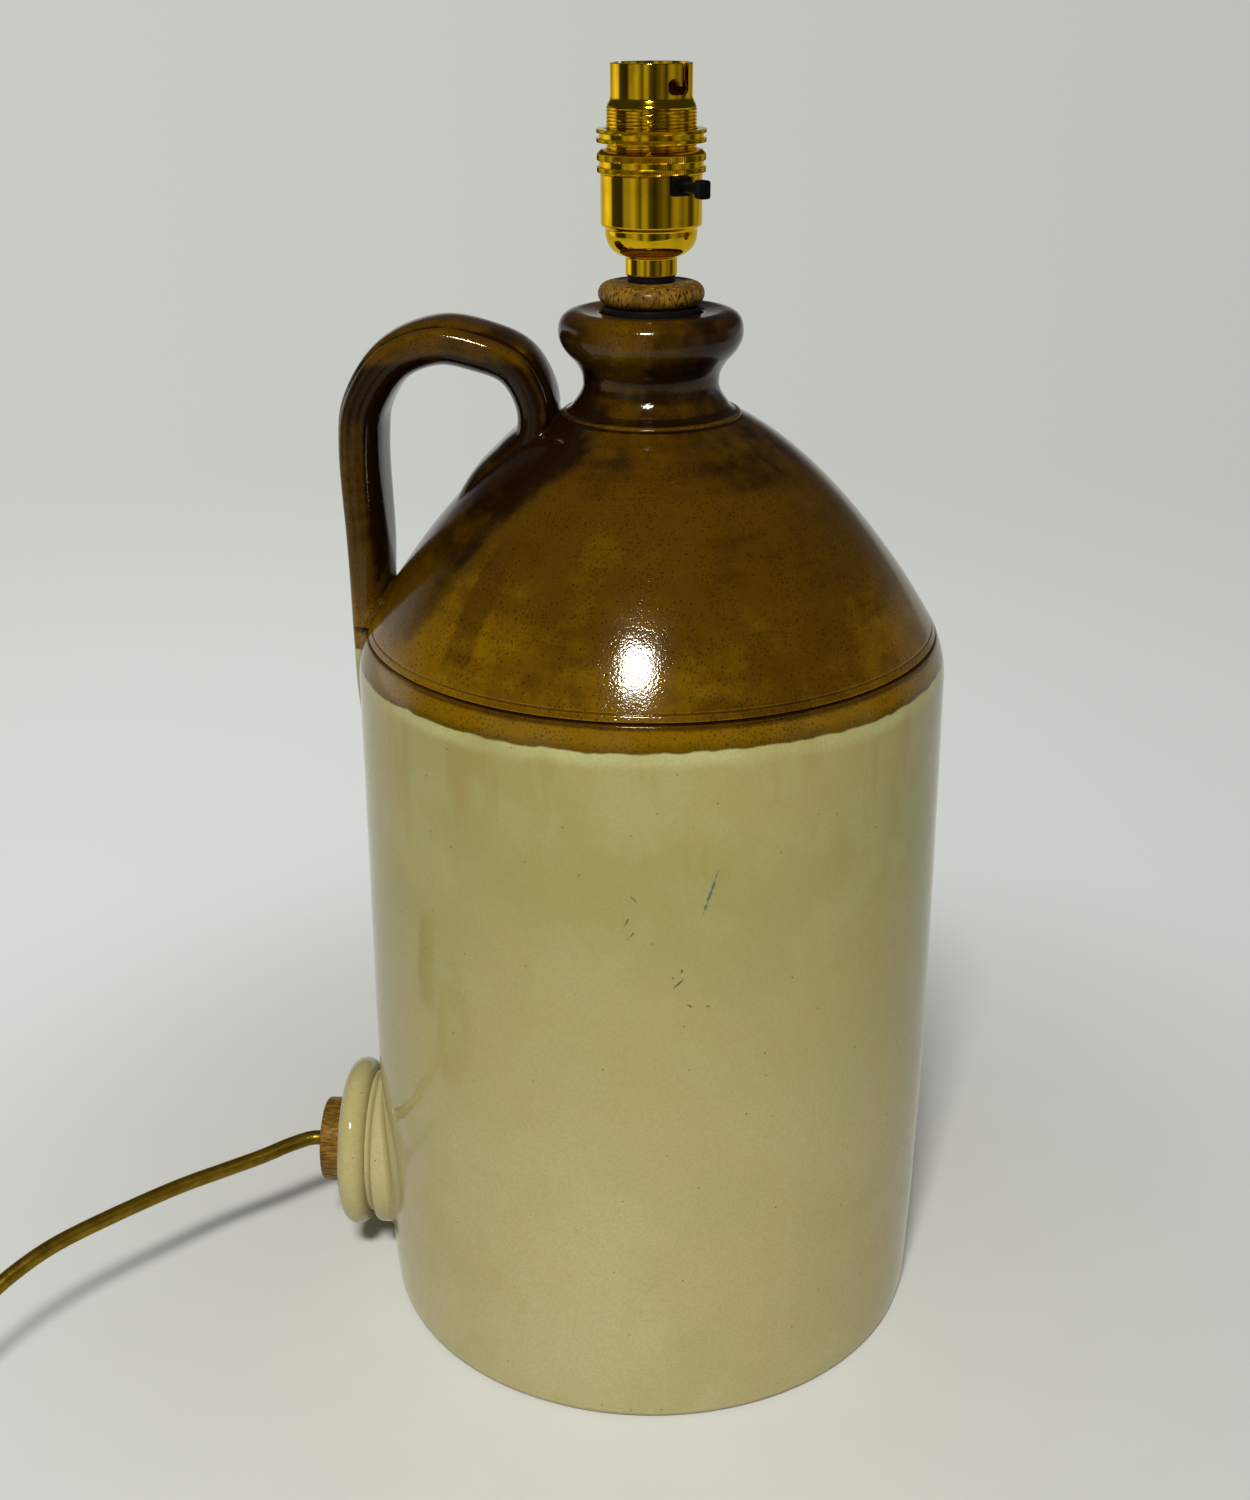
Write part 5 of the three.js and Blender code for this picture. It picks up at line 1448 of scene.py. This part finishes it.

# %% [markdown]
# ### Brass
# Polished brass has hardly a colour of its own. It tints what it mirrors, so most of the look is the
# room. What belongs to the metal is a slight haze, fine turning lines and a browner film that the
# polishing cloth leaves in patches.

# %% Metals
def metal(name, bright, dull, roughness, line=0.35, film=0.5):
    m = Finish(name)
    lines = m.noise(1, 2.0, 0.6, m.stretched(0.02, 0.02, 1 / line))
    cloud = m.noise(7, 3.0)
    m.set(Base_Color=m.blend(m.ramp(cloud, 0.45, 0.75, 0.0, film), bright, dull), Metallic=1.0)
    m.set(Specular_Tint=(1.0, 0.93, 0.55, 1))
    m.set(Roughness=m.ramp(m.plus(cloud, lines), 0.7, 1.3, 0.7 * roughness, 1.3 * roughness))
    return m.bump(lines, 0.004)


brass = metal("polished brass", (0.68, 0.415, 0.008), (0.44, 0.24, 0.006), 0.075)
worn_brass = metal("contact brass", (0.62, 0.42, 0.08), (0.40, 0.24, 0.05), 0.25)
steel = metal("zinc plated steel", (0.55, 0.56, 0.57), (0.36, 0.36, 0.35), 0.28, film=0.4)
steel.set(Specular_Tint=(1, 1, 1, 1))
turned_brass = [
    (housing, "lamp", "holder_housing"), (barrel, "lamp", "holder_barrel"),
    (union_ring, "lamp", "union_ring"), (shade_ring, "shade_ring", "shade_ring"),
]
for made, body, node in turned_brass:
    place_piece(made, body, "brass", brass, node)
place_piece(grub_screw, "lamp", "brass", brass)
for i, plunger in enumerate(plungers):
    place_piece(plunger, f"plunger_{i + 1}", "contact_brass", worn_brass, f"contact_plunger_{i + 1}")
print("brass pieces:", len(turned_brass) + 1 + len(plungers))

# %% [markdown]
# ### Wood
# The cap was turned from a pale hardwood and stained. Its pores show as short dark dashes that run
# with the grain, across the axis. The bung in the outlet is redder and carries a coat of varnish.

# %% Wood
def wood(name, pale_wood, dark_wood, along, coat, dashes):
    w = Finish(name)
    grain = w.noise(1, 4.0, 0.65, w.stretched(*along))
    band = w.noise(9, 2.0)
    colour = w.blend(w.ramp(grain, 0.35, 0.68), pale_wood, dark_wood)
    colour = w.blend(w.ramp(band, 0.4, 0.7, 0.0, 0.5), colour, tuple(0.55 * c for c in dark_wood))
    dash = w.dots(1, 0.34, w.stretched(*(0.9 * a for a in along)))
    colour = w.blend(w.times(dash, dashes), colour, (0.018, 0.007, 0.002))
    w.set(Base_Color=colour, Roughness=w.ramp(grain, 0.3, 0.7, 0.36, 0.5))
    w.set(IOR=1.35, Specular_IOR_Level=0.25, Specular_Tint=(1.0, 0.8, 0.5, 1))
    w.set(Coat_Weight=coat, Coat_Roughness=0.12)
    return w.bump(w.sum("SUBTRACT", grain, dash), 0.08)


cap_wood = wood(
    "stained cap wood", (0.24, 0.130, 0.014), (0.070, 0.028, 0.002), (0.9, 0.9, 0.35), 0.06, 1.0)
bung_wood = wood(
    "varnished bung wood", (0.27, 0.150, 0.018), (0.085, 0.036, 0.004), (0.25, 1.2, 1.2), 0.15, 0.5)
place_piece(wood_cap, "lamp", "cap_wood", cap_wood, "wooden_cap")
place_piece(outlet_bung, "lamp", "bung_wood", bung_wood, "outlet_bung")
print("woods:", cap_wood.material.name, "and", bung_wood.material.name)

# %% [markdown]
# ### Rubber, plastics, ceramic and the flex
# None of these is one flat colour. Rubber and moulded plastic have a faint cloudiness and a grain
# from the mould, glazed ceramic has less of both, and the sheath of the flex is a little uneven.

# %% The rest
def moulded(name, colour, roughness, grain=0.6, depth=0.01, spread=0.12):
    m = Finish(name)
    cloud = m.noise(6, 3.0)
    m.set(Base_Color=m.blend(m.ramp(cloud, 0.3, 0.7), colour, tuple((1 - spread) * c for c in colour)))
    m.set(Roughness=m.ramp(m.noise(2.5, 2.0), 0.3, 0.7, 0.85 * roughness, 1.15 * roughness))
    return m.bump(m.noise(grain, 2.0), depth)


def gold_sheath():
    s = Finish("gold flex")
    cloud = s.noise(5, 3.0)
    s.set(Base_Color=s.blend(s.ramp(cloud, 0.35, 0.65), (0.230, 0.145, 0.010), (0.160, 0.098, 0.006)))
    s.set(Metallic=0.8, Roughness=s.ramp(s.noise(2, 2.0), 0.3, 0.7, 0.28, 0.38))
    s.set(Specular_Tint=(1.0, 0.85, 0.5, 1))
    return s.bump(s.noise(1.1, 2.0), 0.03)


rubber = moulded("black rubber", (0.006, 0.0055, 0.005), 0.4, 0.35, 0.02)
black_plastic = moulded("black plastic", (0.003, 0.003, 0.0035), 0.3)
for dark in (rubber, black_plastic):
    dark.set(IOR=1.3, Specular_IOR_Level=0.08)
plug_plastic = moulded("plug plastic", (0.012, 0.012, 0.012), 0.35, 0.8, 0.015)
ceramic = moulded("white ceramic", (0.62, 0.60, 0.55), 0.22, 1.5, 0.01, 0.05)
brown_core = moulded("brown core", (0.09, 0.035, 0.012), 0.4)
blue_core = moulded("blue core", (0.02, 0.10, 0.42), 0.4)
green_core = moulded("green core", (0.10, 0.30, 0.03), 0.4)
gold = gold_sheath()
paint(flex, gold)
place_piece(rubber_bung, "lamp", "black_rubber", rubber, "mouth_bung")
place_piece(washer, "lamp", "black_rubber", rubber, "seat_washer")
place_piece(push_bar, "switch_bar", "black_plastic", black_plastic, "switch_bar")
place_piece(bushes[0], "lamp", "black_plastic", black_plastic, "bar_bush_front")
place_piece(bushes[1], "lamp", "black_plastic", black_plastic, "bar_bush_back")
print("finishes made:", len(bpy.data.materials))

# %% [markdown]
# The springs get their steel finish and ride on the lamp, each with a mesh of its own.

# %% Springs
for i, (x, y) in enumerate(contact_spots):
    place_piece(springs[i], "lamp", "spring_steel", steel, f"plunger_spring_{i + 1}")
    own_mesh(springs[i])

# %% [markdown]
# ### The solids that stay
# Small fittings, the plug and the parts inside the holder are good enough as they were packed, so
# they only get their finishes. The plug's moulded edges are broken by a bevel of 0.4 mm.

# %% Finishes of the solids that stay
pins = ("plug_pin_live", "plug_pin_neutral", "plug_pin_earth")
plug_body = ("plug_cover", "plug_base")
edge_width, edge_segments, edge_limit = 0.4 * MM, 3, math.radians(40)
kept = {
    brass: (
        "nipple", "nipple_nut",
        "terminal_screw_live", "terminal_screw_neutral", "terminal_screw_earth",
    ),
    worn_brass: pins,
    steel: ("clamp_plate", "plug_screw"),
    black_plastic: ("switch_body",),
    plug_plastic: (*plug_body, "plug_cord_grip"),
    ceramic: ("contact_block", "plug_fuse"),
    brown_core: ("core_live",),
    blue_core: ("core_neutral",),
    green_core: ("core_earth",),
    gold: ("inner_flex",),
}
for finish, nodes in kept.items():
    for node in nodes:
        paint(frame["nodes"][node], finish)
for node in (*plug_body, *pins, "plug_cord_grip"):
    edge = frame["nodes"][node].modifiers.new("soft edge", "BEVEL")
    edge.width = edge_width
    edge.segments = edge_segments
    edge.limit_method = "ANGLE"
    edge.angle_limit = edge_limit
print("solids kept in view:", sum(len(nodes) for nodes in kept.values()))

# %% [markdown]
# ## The flex
# The flex is one cord of 2 m with the plug at its far end.
